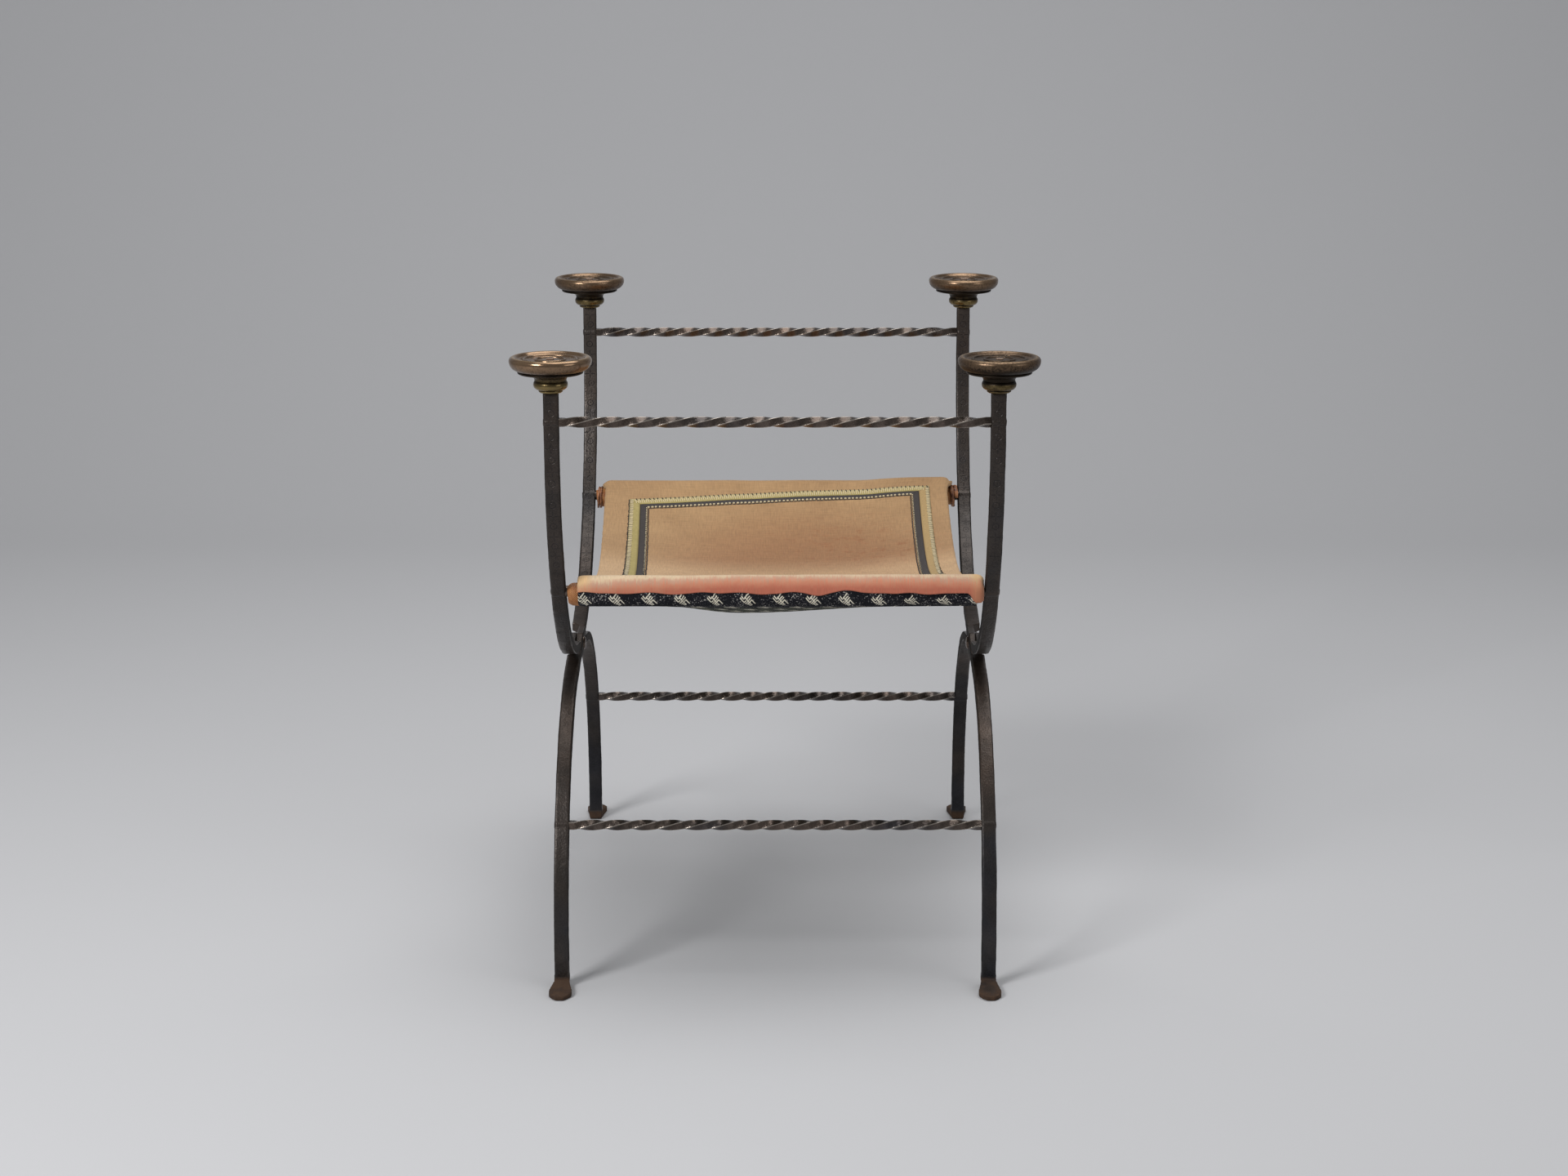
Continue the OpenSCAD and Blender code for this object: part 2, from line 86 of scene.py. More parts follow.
lower_run = (lower_cy + lower_r * math.sin(slope)) / math.cos(slope)
clear_w = 2 * bar_x - bar_w


def feed(node, inputs):
    """Links or sets the inputs of a node, by name or in the order in which they are shown. A text is a colour."""
    shown = [socket for socket in node.inputs if socket.enabled]
    for key, value in inputs.items() if isinstance(inputs, dict) else enumerate(inputs):
        socket = node.inputs[key] if isinstance(key, str) else shown[key]
        if isinstance(value, bpy.types.NodeSocket):
            node.id_data.links.new(value, socket)
        else:
            socket.default_value = hex_colour(value) if isinstance(value, str) else value


def add(kind, inputs=(), out=None, **settings):
    """Adds a node to the material that is being made. Its kind may also name its operation or its type of data.

    Returns the output that is named, or the first one that is shown."""
    kind, _, mode = kind.partition(".")
    node = tree.nodes.new("ShaderNode" + kind)
    if mode:
        setattr(node, "data_type" if kind == "Mix" else "operation", mode)
    for name, value in settings.items():
        setattr(node, name, value)
    feed(node, inputs)
    return node.outputs[out] if out else next(socket for socket in node.outputs if socket.enabled)


def stops(colour, *places):
    """Gives a colour ramp its two ends and then the stops between them, each as a place and a colour."""
    elements = colour.node.color_ramp.elements
    for i, (place, text) in enumerate(places):
        element = elements[i] if i < 2 else elements.new(place)
        element.position, element.color = place, hex_colour(text)


def hex_colour(text):
    """An sRGB hex value as a linear colour."""
    channels = [int(text[i:i + 2], 16) / 255 for i in (1, 3, 5)]
    return [c / 12.92 if c <= 0.04045 else ((c + 0.055) / 1.055) ** 2.4 for c in channels] + [1.0]


def material(name):
    """An empty material with its Principled shader and the shader's tree."""
    made = bpy.data.materials.new(name)
    made.use_nodes = True
    return made, made.node_tree, made.node_tree.nodes["Principled BSDF"]


def toned(colour, tone):
    """A colour made lighter or darker by a tone."""
    tone = add("CombineXYZ", (tone, tone, tone))
    return add("Mix.RGBA", (1.0, colour, tone), blend_type="MULTIPLY")


def clamped(value):
    """Keeps a value between 0 and 1."""
    return min(1.0, max(0.0, value))


def smooth(t):
    """Eases a value between 0 and 1 in and out."""
    return t * t * (3 - 2 * t)


def lying(place, side=1):
    """Turns a shape whose height runs along Z so that it runs along X, and puts it in its place."""
    return Matrix.Translation(place) @ Matrix.Rotation(side * math.pi / 2, 4, "Y")


def linked(bm, name, finish):
    """Turns a bmesh into a piece with its material, as it is."""
    mesh = bpy.data.meshes.new(name)
    bm.to_mesh(mesh)
    bm.free()
    made = bpy.data.objects.new(name, mesh)
    bpy.context.scene.collection.objects.link(made)
    mesh.materials.append(finish)
    mesh.polygons.foreach_set("use_smooth", [True] * len(mesh.polygons))
    return made


def piece(bm, name, finish, sharp=None):
    """Turns a closed bmesh into a piece of the stool."""
    bmesh.ops.recalc_face_normals(bm, faces=bm.faces)
    made = linked(bm, name, finish)
    if sharp:
        made.data.set_sharp_from_angle(angle=math.radians(sharp))
    return made


def rim_of(bm, corners, cut=0.0):
    """A closed outline of edges through the corners, with each corner cut or rounded, ready to be swept."""
    face = bm.faces.new([bm.verts.new(p) for p in corners])
    if cut:
        bmesh.ops.bevel(bm, geom=face.verts[:], affect="VERTICES", offset=cut, segments=2, profile=0.5)
    rim = [g for f in bm.faces for g in (*f.verts, *f.edges)]
    bmesh.ops.delete(bm, geom=bm.faces[:], context="FACES_ONLY")
    return list(dict.fromkeys(rim))


def sweep(bm, rim, steps, shift=(0, 0, 0), angle=0.0, cent=(0, 0, 0)):
    """Carries an outline along a line, or along an arc or a helix round X, and returns the one at the far end."""
    made = bmesh.ops.spin(bm, geom=rim, cent=cent, axis=(1, 0, 0), dvec=Vector(shift) / steps, angle=angle, steps=steps)
    return [g for g in made["geom_last"] if not isinstance(g, bmesh.types.BMFace)]


def capped(bm):
    """Closes the open ends of a sweep."""
    bmesh.ops.holes_fill(bm, edges=bm.edges, sides=0)
    return bm


def merged(parts, closed=True):
    """Several bmeshes as one. The faces of closed ones are turned outwards."""
    whole = bmesh.new()
    for bm in parts:
        made = bpy.data.meshes.new("part")
        if closed:
            bmesh.ops.recalc_face_normals(bm, faces=bm.faces)
        bm.to_mesh(made)
        bm.free()
        whole.from_mesh(made)
        bpy.data.meshes.remove(made)
    return whole


def half_bar(y, z, bend_y, bend_z, steps, run):
    """One end of a bar: straight up from its place, round its bend and down the slope into the lap."""
    bm = bmesh.new()
    w, t = bar_w / 2, bar_t / 2
    rim = rim_of(bm, [(x, y + off, z) for x, off in ((-w, -t), (w, -t), (w, t), (-w, t))], chamfer)
    rim = sweep(bm, rim, 10, (0, 0, bend_z - z))
    rim = sweep(bm, rim, steps, angle=slope - math.pi / 2, cent=(0, bend_y, bend_z))
    sweep(bm, rim, 10, (0, run * math.cos(slope), run * math.sin(slope)))
    return capped(bm)


def stations(places):
    """A closed block through rectangular stations, each with the low and high X and Z at a Y."""
    bm = bmesh.new()
    for y, x0, x1, z0, z1 in places:
        corners = [Vector(p) for p in ((x0, y, z0), (x1, y, z0), (x1, y, z1), (x0, y, z1))]
        if len(bm.verts) == 0:
            rim = rim_of(bm, corners)
            continue
        rim = sweep(bm, rim, 1, (0, 1 * MM, 0))
        verts = [g for g in rim if isinstance(g, bmesh.types.BMVert)]
        middle = sum((v.co for v in verts), Vector()) / 4
        goal = sum(corners, Vector()) / 4
        for v in verts:
            sign_x = 1 if v.co.x > middle.x else -1
            sign_z = 1 if v.co.z > middle.z else -1
            v.co = goal + Vector((sign_x * (x1 - x0) / 2, 0, sign_z * (z1 - z0) / 2))
    return capped(bm)


def cylinder(radius, depth, segments, matrix):
    """A solid cylinder along the Z axis, put in its place by a matrix."""
    bm = bmesh.new()
    bmesh.ops.create_cone(bm, cap_ends=True, segments=segments, radius1=radius, radius2=radius, depth=depth,
                          matrix=matrix)
    return bm


def crossing(side):
    """The eye at the pivot with its two tapers, halved so that it fills one side of the lap."""
    lap = 0.12 * MM
    slant = 8 * MM
    reach = lap_reach - slant - 4 * MM
    touch = math.acos((eye_r - bar_t / 2) / reach) - math.radians(4)

    def faces_at(y):
        into = max(0.0, (abs(y) - (lap_reach - slant)) / slant)
        inner = lap - into * (bar_w / 2 + lap)
        return sorted((side * inner, side * bar_w / 2))

    heights = [(lap_reach, bar_t / 2), (lap_reach - slant, bar_t / 2), (reach, bar_t / 2),
               (eye_r * math.cos(touch), eye_r * math.sin(touch)), (0, eye_r * 0.99)]
    places = [(-y, *faces_at(y), -h, h) for y, h in heights]
    places += [(y, *faces_at(y), -h, h) for y, h in reversed(heights[:-1])]
    block = stations(places)
    x0, x1 = faces_at(0)
    whole = merged([block, cylinder(eye_r, x1 - x0, 72, lying(((x0 + x1) / 2, 0, 0)))])
    bmesh.ops.transform(whole, matrix=Matrix.Translation((0, 0, pivot_z)) @ Matrix.Rotation(slope, 4, "X"),
                        verts=whole.verts)
    return whole


def toe():
    """The end of the leg, hammered out into a spade with a blunt point that lies on the floor."""
    tip = bar_t / 2 + toe_reach
    wide_y = bar_t / 2 + 0.6 * toe_reach
    outline = [(bar_t / 2, 8.3), (wide_y - 12 * MM, 10.6), (wide_y - 4 * MM, 12.2), (wide_y, 12.5),
               (wide_y + 5 * MM, 12.0), (tip - 7 * MM, 9.0), (tip - 2.5 * MM, 5.2), (tip - 0.4 * MM, 2.4)]
    rings = [(heel_r - bar_t / 2 - 6 * MM, 2.5 * MM), (-bar_t / 2 + 1.5 * MM, 0.8 * MM), (-bar_t / 2 + 4 * MM, 0)]
    rings = [(y, -bar_w / 2, bar_w / 2, low, 10 * MM) for y, low in rings]
    for (y0, half0), (y1, half1) in zip(outline, outline[1:]):
        for part in (0, 0.5):
            y, half = y0 + (y1 - y0) * part, (half0 + (half1 - half0) * part) * MM
            along = (y - bar_t / 2) / toe_reach
            rings.append((y, -half, half, 0.35 * MM * along, (9.0 - 4.4 * along) * MM))
    bm = stations([(y - leg_y, x0, x1, z0, z1) for y, x0, x1, z0, z1 in rings])
    bmesh.ops.scale(bm, vec=(1, -1, 1), verts=bm.verts, space=Matrix.Translation((0, leg_y, 0)))
    return bm


def boss(y, z):
    """The swelling of the bar round the hole for a cross rod."""
    return cylinder(6.2 * MM, bar_w - 2 * chamfer, 48, lying((0, y, z)))


def tang():
    """The tang goes up through the finial and is hammered over in the dish."""
    height = tang_head_z - bar_top_z
    pin = cylinder(3.4 * MM, height, 24, Matrix.Translation((0, arm_y, bar_top_z + height / 2 - 1.2 * MM)))
    head = bmesh.new()
    place_head = Matrix.Translation((0, arm_y, tang_head_z - 1.5 * MM))
    bmesh.ops.create_cube(head, size=1, matrix=place_head @ Matrix.Diagonal((8 * MM, 8 * MM, 2.2 * MM, 1)))
    return merged([pin, head])


arm_stretcher_z = (arm_low.z + arm_high.z) / 2
foot_stretcher_z = (leg_low.z + leg_high.z) / 2
arm_stretcher_y = (arm_low.y + arm_high.y) / 2
foot_stretcher_y = (leg_low.y + leg_high.y) / 2


def applied(made):
    """Makes what a piece's modifiers give into its mesh."""
    evaluated = made.evaluated_get(bpy.context.evaluated_depsgraph_get())
    made.data = bpy.data.meshes.new_from_object(evaluated)
    made.modifiers.clear()
    made.data.polygons.foreach_set("use_smooth", [True] * len(made.data.polygons))


def forged(made, seed):
    """Gives a bar the waves that the hammer left, a ridge on its toe and a worn heel. The lap stays true."""
    mesh = made.data
    normals = [Vector(n.vector) for n in mesh.vertex_normals]
    for v, n in zip(mesh.vertices, normals):
        p = v.co
        free = clamped(((p.yz - Vector((0, pivot_z))).length - lap_reach) / (20 * MM))
        wave = 0.30 * noise.noise(Vector((p.x + seed, p.y, p.z)) * 28)
        wave += 0.16 * noise.noise((p + Vector((seed, 0, 0))) * 130)
        goal = p + n * (wave * free * MM)
        off = abs(goal.x) - bar_x
        out = abs(goal.y) - leg_y
        low = max(0.0, 1 - goal.z / (14 * MM))
        if low > 0 and out > bar_t / 2:
            ridge = max(0.0, 1 - abs(off) / (8 * MM)) * min(1.0, (out - bar_t / 2) / (8 * MM))
            goal.z += 1.0 * MM * ridge * min(1.0, goal.z / (4 * MM))
        elif low > 0 and out > -bar_t:
            goal.x += off * (0.05 - 0.2 * low ** 3) * (1 if goal.x > 0 else -1)
        v.co = goal


def place_on_bar(made, flip, depth):
    """Stores, for each point, its place across the bar, its distance from the top, and how deep the stamps are, which
    also sets how much painted sheen the bar gets.
    """
    places = made.data.attributes.new("bar_place", "FLOAT_VECTOR", "POINT")
    for v, stored in zip(made.data.vertices, places.data):
        y, z = v.co.y * flip, v.co.z
        if z > upper_cz:
            along = bar_top_z - z
        elif y > 0 and z > pivot_z:
            along = bar_top_z - upper_cz + upper_r * math.atan2(upper_cz - z, y - upper_cy)
        else:
            along = -1.0
        stored.vector = (abs(v.co.x) - bar_x if v.co.x > 0 else bar_x - abs(v.co.x), along, depth)


# Wrought iron, forged and waxed: brown-grey to blue-black in patches of 5 to 15 cm, with a grain of about 1 mm and
# fine pits from the scale, and rust on the toes. Rings and crosses are stamped 25.1 mm apart, 0.4 mm deep.
wrought_iron, tree, shader = material("wrought_iron_forged")
place = add("TexCoord", out="Object")
zones = add("TexNoise", (place, 11, 3, 0.5))
patches = add("TexNoise", (place, 42, 4, 0.6))
grain = add("TexNoise", (place, 700, 3, 0.65))
pits = add("TexVoronoi", {"Vector": place, "Scale": 420, "Randomness": 1}, feature="F1")
height = add("SeparateXYZ", (place,), out="Z")
# Brownest from 0.24 to 0.30 m above the floor, and bluest below 0.12 m
browner = add("MapRange", (height, 0.12, 0.24, -0.2, 0.2))
cooler = add("MapRange", (height, 0.30, 0.40, 0.0, 0.22))
tint = add("Math.ADD", (zones, browner))
tint = add("Math.SUBTRACT", (tint, cooler))
hue = add("ValToRGB", (tint,))
stops(hue, (0.25, "#28282c"), (0.80, "#483c34"), (0.45, "#36302c"), (0.6, "#3b332e"))
tone = add("Math.ADD", (patches, grain))
tone = add("MapRange", (tone, 0.7, 1.3, 0.55, 1.45))
# The bar with the best kept stamps is painted lightest over its upper part, as a painted sheen of light, and the cross
# rods, which have none, are rubbed bright too
bar_place = add("Attribute", out="Vector", attribute_name="bar_place")
across, along, depth = (add("SeparateXYZ", (bar_place,), out=axis) for axis in "XYZ")
far_down = add("Math.ABSOLUTE", (along,))
kept = add("MapRange", (far_down, 0.19, 0.27, 1.0, 0.4))
rubbed = add("MapRange", (depth, 0.0, 0.4, 2.3, 0.92))
painted_sheen = add("Math.MULTIPLY", (depth, kept))
painted_sheen = add("MapRange", (painted_sheen, 0.6, 1.0, 0.95, 1.75))
tone = add("Math.MULTIPLY", (tone, rubbed))
tone = add("Math.MULTIPLY", (tone, painted_sheen))
# The two sides of a bar are painted half as dark, as shade, and are matt down to the toe
off_middle = add("Math.ABSOLUTE", (across,))
flank = add("Math.GREATER_THAN", (off_middle, bar_w / 2 - 0.6 * MM))
above_toe = add("Math.GREATER_THAN", (height, 0.03))
flank = add("Math.MULTIPLY", (flank, above_toe))
shade = add("Math.MULTIPLY_ADD", (flank, -0.5, 1.0))
tone = add("Math.MULTIPLY", (tone, shade))
mottled = toned(hue, tone)
near_floor = add("MapRange", (height, 0.013, 0.009))
rust = add("MapRange", (patches, 0.36, 0.56, 0.25, 0.9))
rust = add("Math.MULTIPLY", (near_floor, rust), use_clamp=True)
rusty = add("Mix.RGBA", (rust, mottled, "#5b4637"))
# The heads of the tangs, above 0.69 m, are rubbed as bright as the bronze round them
head = add("Math.GREATER_THAN", (height, 0.69))
rusty = add("Mix.RGBA", (head, rusty, "#86705f"))

stamp_pitch = 25.1 * MM
count = add("Math.SUBTRACT", (along, 20.5 * MM))
count = add("Math.DIVIDE", (count, stamp_pitch))


def stamp_centre(offset):
    """Distance along and across the bar from the nearest stamp of one kind, and how hard this stamp was struck."""
    moved = add("Math.ADD", (count, offset))
    number = add("Math.FLOOR", (moved,))
    number = add("Math.ADD", (number, depth))
    scatter = add("TexWhiteNoise", (number,), noise_dimensions="1D")
    struck = add("MapRange", (scatter, 0, 1, 0.6, 1.0))
    shift = add("MapRange", (scatter, 0, 1, -1.6 * MM, 0.6 * MM))
    part = add("Math.FRACT", (moved,))
    part = add("Math.SUBTRACT", (part, 0.5))
    s = add("Math.MULTIPLY", (part, stamp_pitch))
    x = add("Math.ADD", (across, shift))
    return s, x, struck


def line(value, half, soft=0.3 * MM):
    """1 where the size of a distance is under a half width, falling to 0 over a soft edge."""
    size = add("Math.ABSOLUTE", (value,))
    return add("MapRange", (size, half + soft, half - soft / 2), interpolation_type="SMOOTHSTEP")


# A ring of 7 mm with a dot in it
ring_s, ring_x, ring_struck = stamp_centre(0.5)
both = add("CombineXYZ", (ring_s, ring_x))
radius = add("VectorMath.LENGTH", (both,))
off_ring = add("Math.SUBTRACT", (radius, 3.5 * MM))
ring = add("Math.MAXIMUM", (line(off_ring, 0.42 * MM), line(radius, 0.7 * MM)))
ring = add("Math.MULTIPLY", (ring, ring_struck))
# A cross of four cuts, each 4 to 5 mm long, with a gap of 2 mm between them
cross_s, cross_x, cross_struck = stamp_centre(-0.018)
cross_s = add("Math.ABSOLUTE", (cross_s,))
cross_x = add("Math.ABSOLUTE", (cross_x,))
level_end = add("Math.SUBTRACT", (cross_x, 3.6 * MM))
level = add("Math.MULTIPLY", (line(cross_s, 0.4 * MM), line(level_end, 2.5 * MM)))
upright_end = add("Math.SUBTRACT", (cross_s, 3.1 * MM))
upright = add("Math.MULTIPLY", (line(cross_x, 0.4 * MM), line(upright_end, 2.1 * MM)))
cross = add("Math.MAXIMUM", (level, upright))
cross = add("Math.MULTIPLY", (cross, cross_struck))
stamps = add("Math.MAXIMUM", (ring, cross))
from_middle = add("Math.SUBTRACT", (along, 224 * MM))
stamps = add("Math.MULTIPLY", (stamps, line(from_middle, 216 * MM)))
stamps = add("Math.MULTIPLY", (stamps, depth))
stamps = add("Math.MULTIPLY", (stamps, kept))
darkened = add("Math.MULTIPLY", (stamps, 0.85), use_clamp=True)
iron_colour = add("Mix.RGBA", (darkened, rusty, "#17151a"))
# The corners of the twisted rods are painted bright: partly rubbed bare iron, partly a painted highlight along each
# edge
edge_wear_and_highlight = add("Attribute", out="Fac", attribute_name="edge_wear_and_highlight")
edge_wear_and_highlight = add("Math.MULTIPLY", (edge_wear_and_highlight, 0.55))
iron_colour = add("Mix.RGBA", (edge_wear_and_highlight, iron_colour, "#b5aca2"))
bare = add("MapRange", (depth, 0.0, 0.4, 0.85, 0.55))
rough = add("MapRange", (patches, 0.3, 0.7, 0.42, 0.30))
rough = add("Math.MULTIPLY_ADD", (bare, -0.35, rough))
rough = add("Math.ADD", (rough, 0.19))
rough = add("Math.ADD", (rough, rust))
rough = add("Math.MULTIPLY_ADD", (flank, 0.45, rough), use_clamp=True)
relief = add("Math.MULTIPLY", (grain, 0.6))
relief = add("Math.ADD", (relief, pits))
fine = add("Bump", {"Height": relief, "Strength": 0.5, "Distance": 0.3 * MM})
cut = add("Bump", {"Height": stamps, "Strength": 1.0, "Distance": 0.4 * MM, "Normal": fine}, invert=True)
feed(shader, {"Base Color": iron_colour, "Metallic": bare, "Roughness": rough, "Normal": cut})

# How deep the stamps of each bar are, which also sets how much painted sheen it gets: those of the rear left one have
# kept the most
stamp_depth_and_sheen = {"outer_left": 0.6, "outer_right": 0.6, "inner_left": 1.0, "inner_right": 0.78}
bar_number = 0
for family, flip, lap_side in (("outer", -1, 1), ("inner", 1, -1)):
    for hand, side in (("left", -1), ("right", 1)):
        bar_number += 1
        bm = merged([half_bar(arm_y, bar_top_z, upper_cy, upper_cz, 110, lap_reach - upper_run - 2 * MM),
                     half_bar(-leg_y, heel_r, -lower_cy, lower_cz, 96, lower_run - lap_reach + 2 * MM),
                     crossing(side * lap_side), toe(), tang(), boss(arm_stretcher_y, arm_stretcher_z),
                     boss(rod_y, rod_z), boss(-foot_stretcher_y, foot_stretcher_z)])
        bmesh.ops.transform(bm, matrix=Matrix.Translation((side * bar_x, 0, 0)), verts=bm.verts)
        bmesh.ops.scale(bm, vec=(1, flip, 1), verts=bm.verts)
        bar = piece(bm, f"forged_{family}_bar_{hand}", wrought_iron)
        welded = bar.modifiers.new("weld", "REMESH")
        welded.mode = "VOXEL"
        welded.voxel_size = 1.0 * MM
        applied(bar)
        forged(bar, 3.7 * bar_number)
        place_on_bar(bar, flip, stamp_depth_and_sheen[f"{family}_{hand}"])
        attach(bar, f"{family}_frame")
        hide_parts(f"{family}_bar_{hand}")

# Pivot rivets
# A pin of soft iron closes each crossing: a made head on the outside, and an end hammered over on the inside.
# It is fast in the outer bar, and the inner bar turns on it.


def dome_line(radius, height, base, full):
    """The outline of a hammered dome, from its rim to its top, as radius and height."""
    angles = [math.pi / 2 * i / 8 for i in range(9)]
    return [(radius * math.cos(a) ** (2 / full), base + height * math.sin(a) ** (2 / full)) for a in angles]


def turned(outline, matrix, steps=64):
    """An outline of radius and height, spun round the Z axis and then put in its place."""
    bm = bmesh.new()
    verts = [bm.verts.new((r, 0, z)) for r, z in outline]
    edges = [bm.edges.new(pair) for pair in zip(verts, verts[1:])]
    bmesh.ops.spin(bm, geom=verts + edges, cent=(0, 0, 0), axis=(0, 0, 1), angle=2 * math.pi, steps=steps,
                   use_merge=True)
    bmesh.ops.remove_doubles(bm, verts=bm.verts, dist=0.001 * MM)
    bmesh.ops.transform(bm, matrix=matrix, verts=bm.verts)
    return bm


def hammered(bm, depth, scale, seed):
    """Moves the points of a small shape in and out, as hammer marks do."""
    bm.normal_update()
    for v in bm.verts:
        v.co += v.normal * depth * noise.noise(v.co * scale + Vector((seed, seed, seed)))
    return bm


for hand, side in (("left", -1), ("right", 1)):
    out = bar_w / 2
    line_in = [(r, -z) for r, z in dome_line(7.5 * MM, 3 * MM, out + 0.2 * MM, full=2.4)]
    outline = line_in[::-1] + [(4.5 * MM, -out), (4.5 * MM, out)] + dome_line(9 * MM, 5 * MM, out, full=2.2)
    turn = lying((side * bar_x, 0, pivot_z), side)
    rivet = piece(hammered(turned(outline, turn), 0.35 * MM, 260, side * 5.0), f"rivet_{hand}", wrought_iron, sharp=40)
    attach(rivet, "outer_frame")
    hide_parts(f"pivot_rivet_{hand}")

# Twisted stretchers
# Square iron rod, twisted hot between two plain ends, that holds a pair of bars apart. A round tenon at each
# end goes through the bar and is hammered over outside it.
stretcher_side = 8.6 * MM
stub = 5 * MM


def tenon_ends(y, z):
    """The hammered ends of a cross rod, outside the two bars."""
    ends = []
    for s in (-1, 1):
        turn = lying((s * (bar_x + bar_w / 2 - 0.6 * MM), y, z), s)
        outline = [(0, -1.0 * MM)] + dome_line(4.7 * MM, 1.4 * MM, 0.0, full=2.6)
        ends.append(hammered(turned(outline, turn, 28), 0.3 * MM, 300, y + z))
    return ends


for place_name, body, turns in (("arm_stretcher_front", "outer_frame", 3.6), ("arm_stretcher_rear", "inner_frame", 3.6),
                                ("foot_stretcher_front", "inner_frame", 3.88),
                                ("foot_stretcher_rear", "outer_frame", 3.88)):
    low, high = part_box(place_name)
    y, z = (low.y + high.y) / 2, (low.z + high.z) / 2
    bm = bmesh.new()
    h = stretcher_side / 2
    start = -clear_w / 2 - 0.3 * MM
    one_side = [Vector((a, -h)) for a in (-h + 0.4 * MM, -h + 1.2 * MM, h - 1.2 * MM, h - 0.4 * MM)]
    square = [Matrix.Rotation(k * math.pi / 2, 2) @ p for k in range(4) for p in one_side]
    rim = rim_of(bm, [(start, y + a, z + b) for a, b in square])
    rim = sweep(bm, rim, 2, (stub + 0.3 * MM, 0, 0))
    for part in range(3):
        pace = (0.985, 1.02, 0.995)[part]
        rim = sweep(bm, rim, 72, ((clear_w - 2 * stub) / 3, 0, 0), -2 * math.pi * turns / 3 * pace, (0, y, z))
    sweep(bm, rim, 2, (stub + 0.3 * MM, 0, 0))
    whole = merged([capped(bm)] + tenon_ends(y, z))
    rod = piece(hammered(whole, 0.2 * MM, 60, z * 10 + y), f"twisted_{place_name}", wrought_iron, sharp=25)
    # Marks the corners of a twisted rod, which get both the rubbed bare iron and the painted edge highlight
    edges = rod.data.attributes.new("edge_wear_and_highlight", "FLOAT", "POINT")
    for v, stored in zip(rod.data.vertices, edges.data):
        stored.value = 1.0 if (v.co.yz - Vector((y, z))).length > 5.5 * MM else 0.0
    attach(rod, body)
    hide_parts(place_name)

# Finials
# Four turned finials of cast bronze, each set on the tang of its bar: collar, bead, cove, lower disc and
# a thick rolled rim round a dish with two fine rings. Old polish is left on the rims, and brown tarnish in the hollows.
# The front left one is painted lighter, as lit, and the others darker, the front right one most, as shaded.


def arc_line(cx, cz, r, start, end, points):
    """Points along an arc, in millimetres and degrees, as radius and height."""
    angles = [math.radians(start + (end - start) * i / points) for i in range(points + 1)]
    return [(cx + r * math.cos(a), cz + r * math.sin(a)) for a in angles]


neck = 17.5
rim_r = 43.5
bore = neck + 18.5
finial_line = [(3.6, 0), (8.5, 0), (11.6, 0.9), (12.6, 1.8), (12.9, 2.6), (12.7, 3.5), (12.1, 4.1)]
finial_line += arc_line(12.65, 9.3, 5.6, -62, 50, 14)
finial_line += arc_line(20.85, neck - 3.4, 4, 190, 108, 9)
finial_line += [(rim_r - 20, neck + 3.1), (rim_r - 10, neck + 3.5), (rim_r - 9.2, neck + 3.9),
                (rim_r - 8.9, neck + 4.6), (rim_r - 8.9, neck + 5.4), (rim_r - 9.3, neck + 6.0),
                (rim_r - 9.9, neck + 6.3)]
finial_line += arc_line(rim_r - 10.5, neck + 17, 10.5, -74, 0, 16)
finial_line += arc_line(rim_r - 4.3, neck + 17, 4.3, 14, 156, 14)
finial_line += [(rim_r - 9.4, neck + 18.5), (rim_r - 10.4, neck + 18.2), (30.6, neck + 18.0)]
finial_line += arc_line(28, neck + 17.9, 1.7, 10, 170, 8)
finial_line += [(25.2, neck + 17.9), (21.5, neck + 17.6), (18.2, neck + 17.7)]
finial_line += arc_line(15.6, neck + 17.6, 1.6, 10, 170, 8)
finial_line += [(13.2, neck + 17.7), (10.2, neck + 17.9), (8, bore + 0.1), (7, bore - 0.1), (3.6, bore - 0.1), (3.6, 0)]

# Cast bronze, turned and polished long ago: brown in the dish, redder on the rims with a thin yellow edge along the
# crest, partly worn and partly a painted highlight, olive and nearly black in the hollows, painted darker under the
# rims as shade, with fine lathe lines round the axis and small dents.
bronze, tree, shader = material("cast_bronze_turned")
place = add("TexCoord", out="Object")
axis_place = add("Attribute", out="Vector", attribute_name="lathe_place")
# The third part is the tarnish in the hollows, shifted for each finial to paint light and shade
out_from_axis, up_axis, hollow_tarnish_and_painted_light = (add("SeparateXYZ", (axis_place,), out=axis) for axis in "XYZ")
cloud = add("TexNoise", (place, 38, 4, 0.55))
speck = add("TexNoise", (place, 420, 3, 0.65))
# From the bead up to the rim the skin goes from olive to red-brown
skin = add("MapRange", (up_axis, 14 * MM, 24 * MM))
olive = add("Mix.RGBA", (cloud, "#564a32", "#8d794e"))
brown = add("Mix.RGBA", (cloud, "#6c5745", "#9c8065"))
gold = add("Mix.RGBA", (skin, olive, brown))
# The thin yellow line along the top of the rim crest is partly worn bronze and partly a painted highlight
edge = add("Math.SUBTRACT", (out_from_axis, 39.5 * MM))
edge = add("Math.ABSOLUTE", (edge,))
edge = add("MapRange", (edge, 2.2 * MM, 0.6 * MM))
rim_crest_highlight = add("MapRange", (up_axis, 36.6 * MM, 38 * MM))
worn = add("Math.MULTIPLY", (edge, rim_crest_highlight))
worn = add("Math.MULTIPLY", (worn, 0.75))
gold = add("Mix.RGBA", (worn, gold, "#b89462"))
tarnish = add("MapRange", (speck, 0.45, 0.75, 0, 0.5))
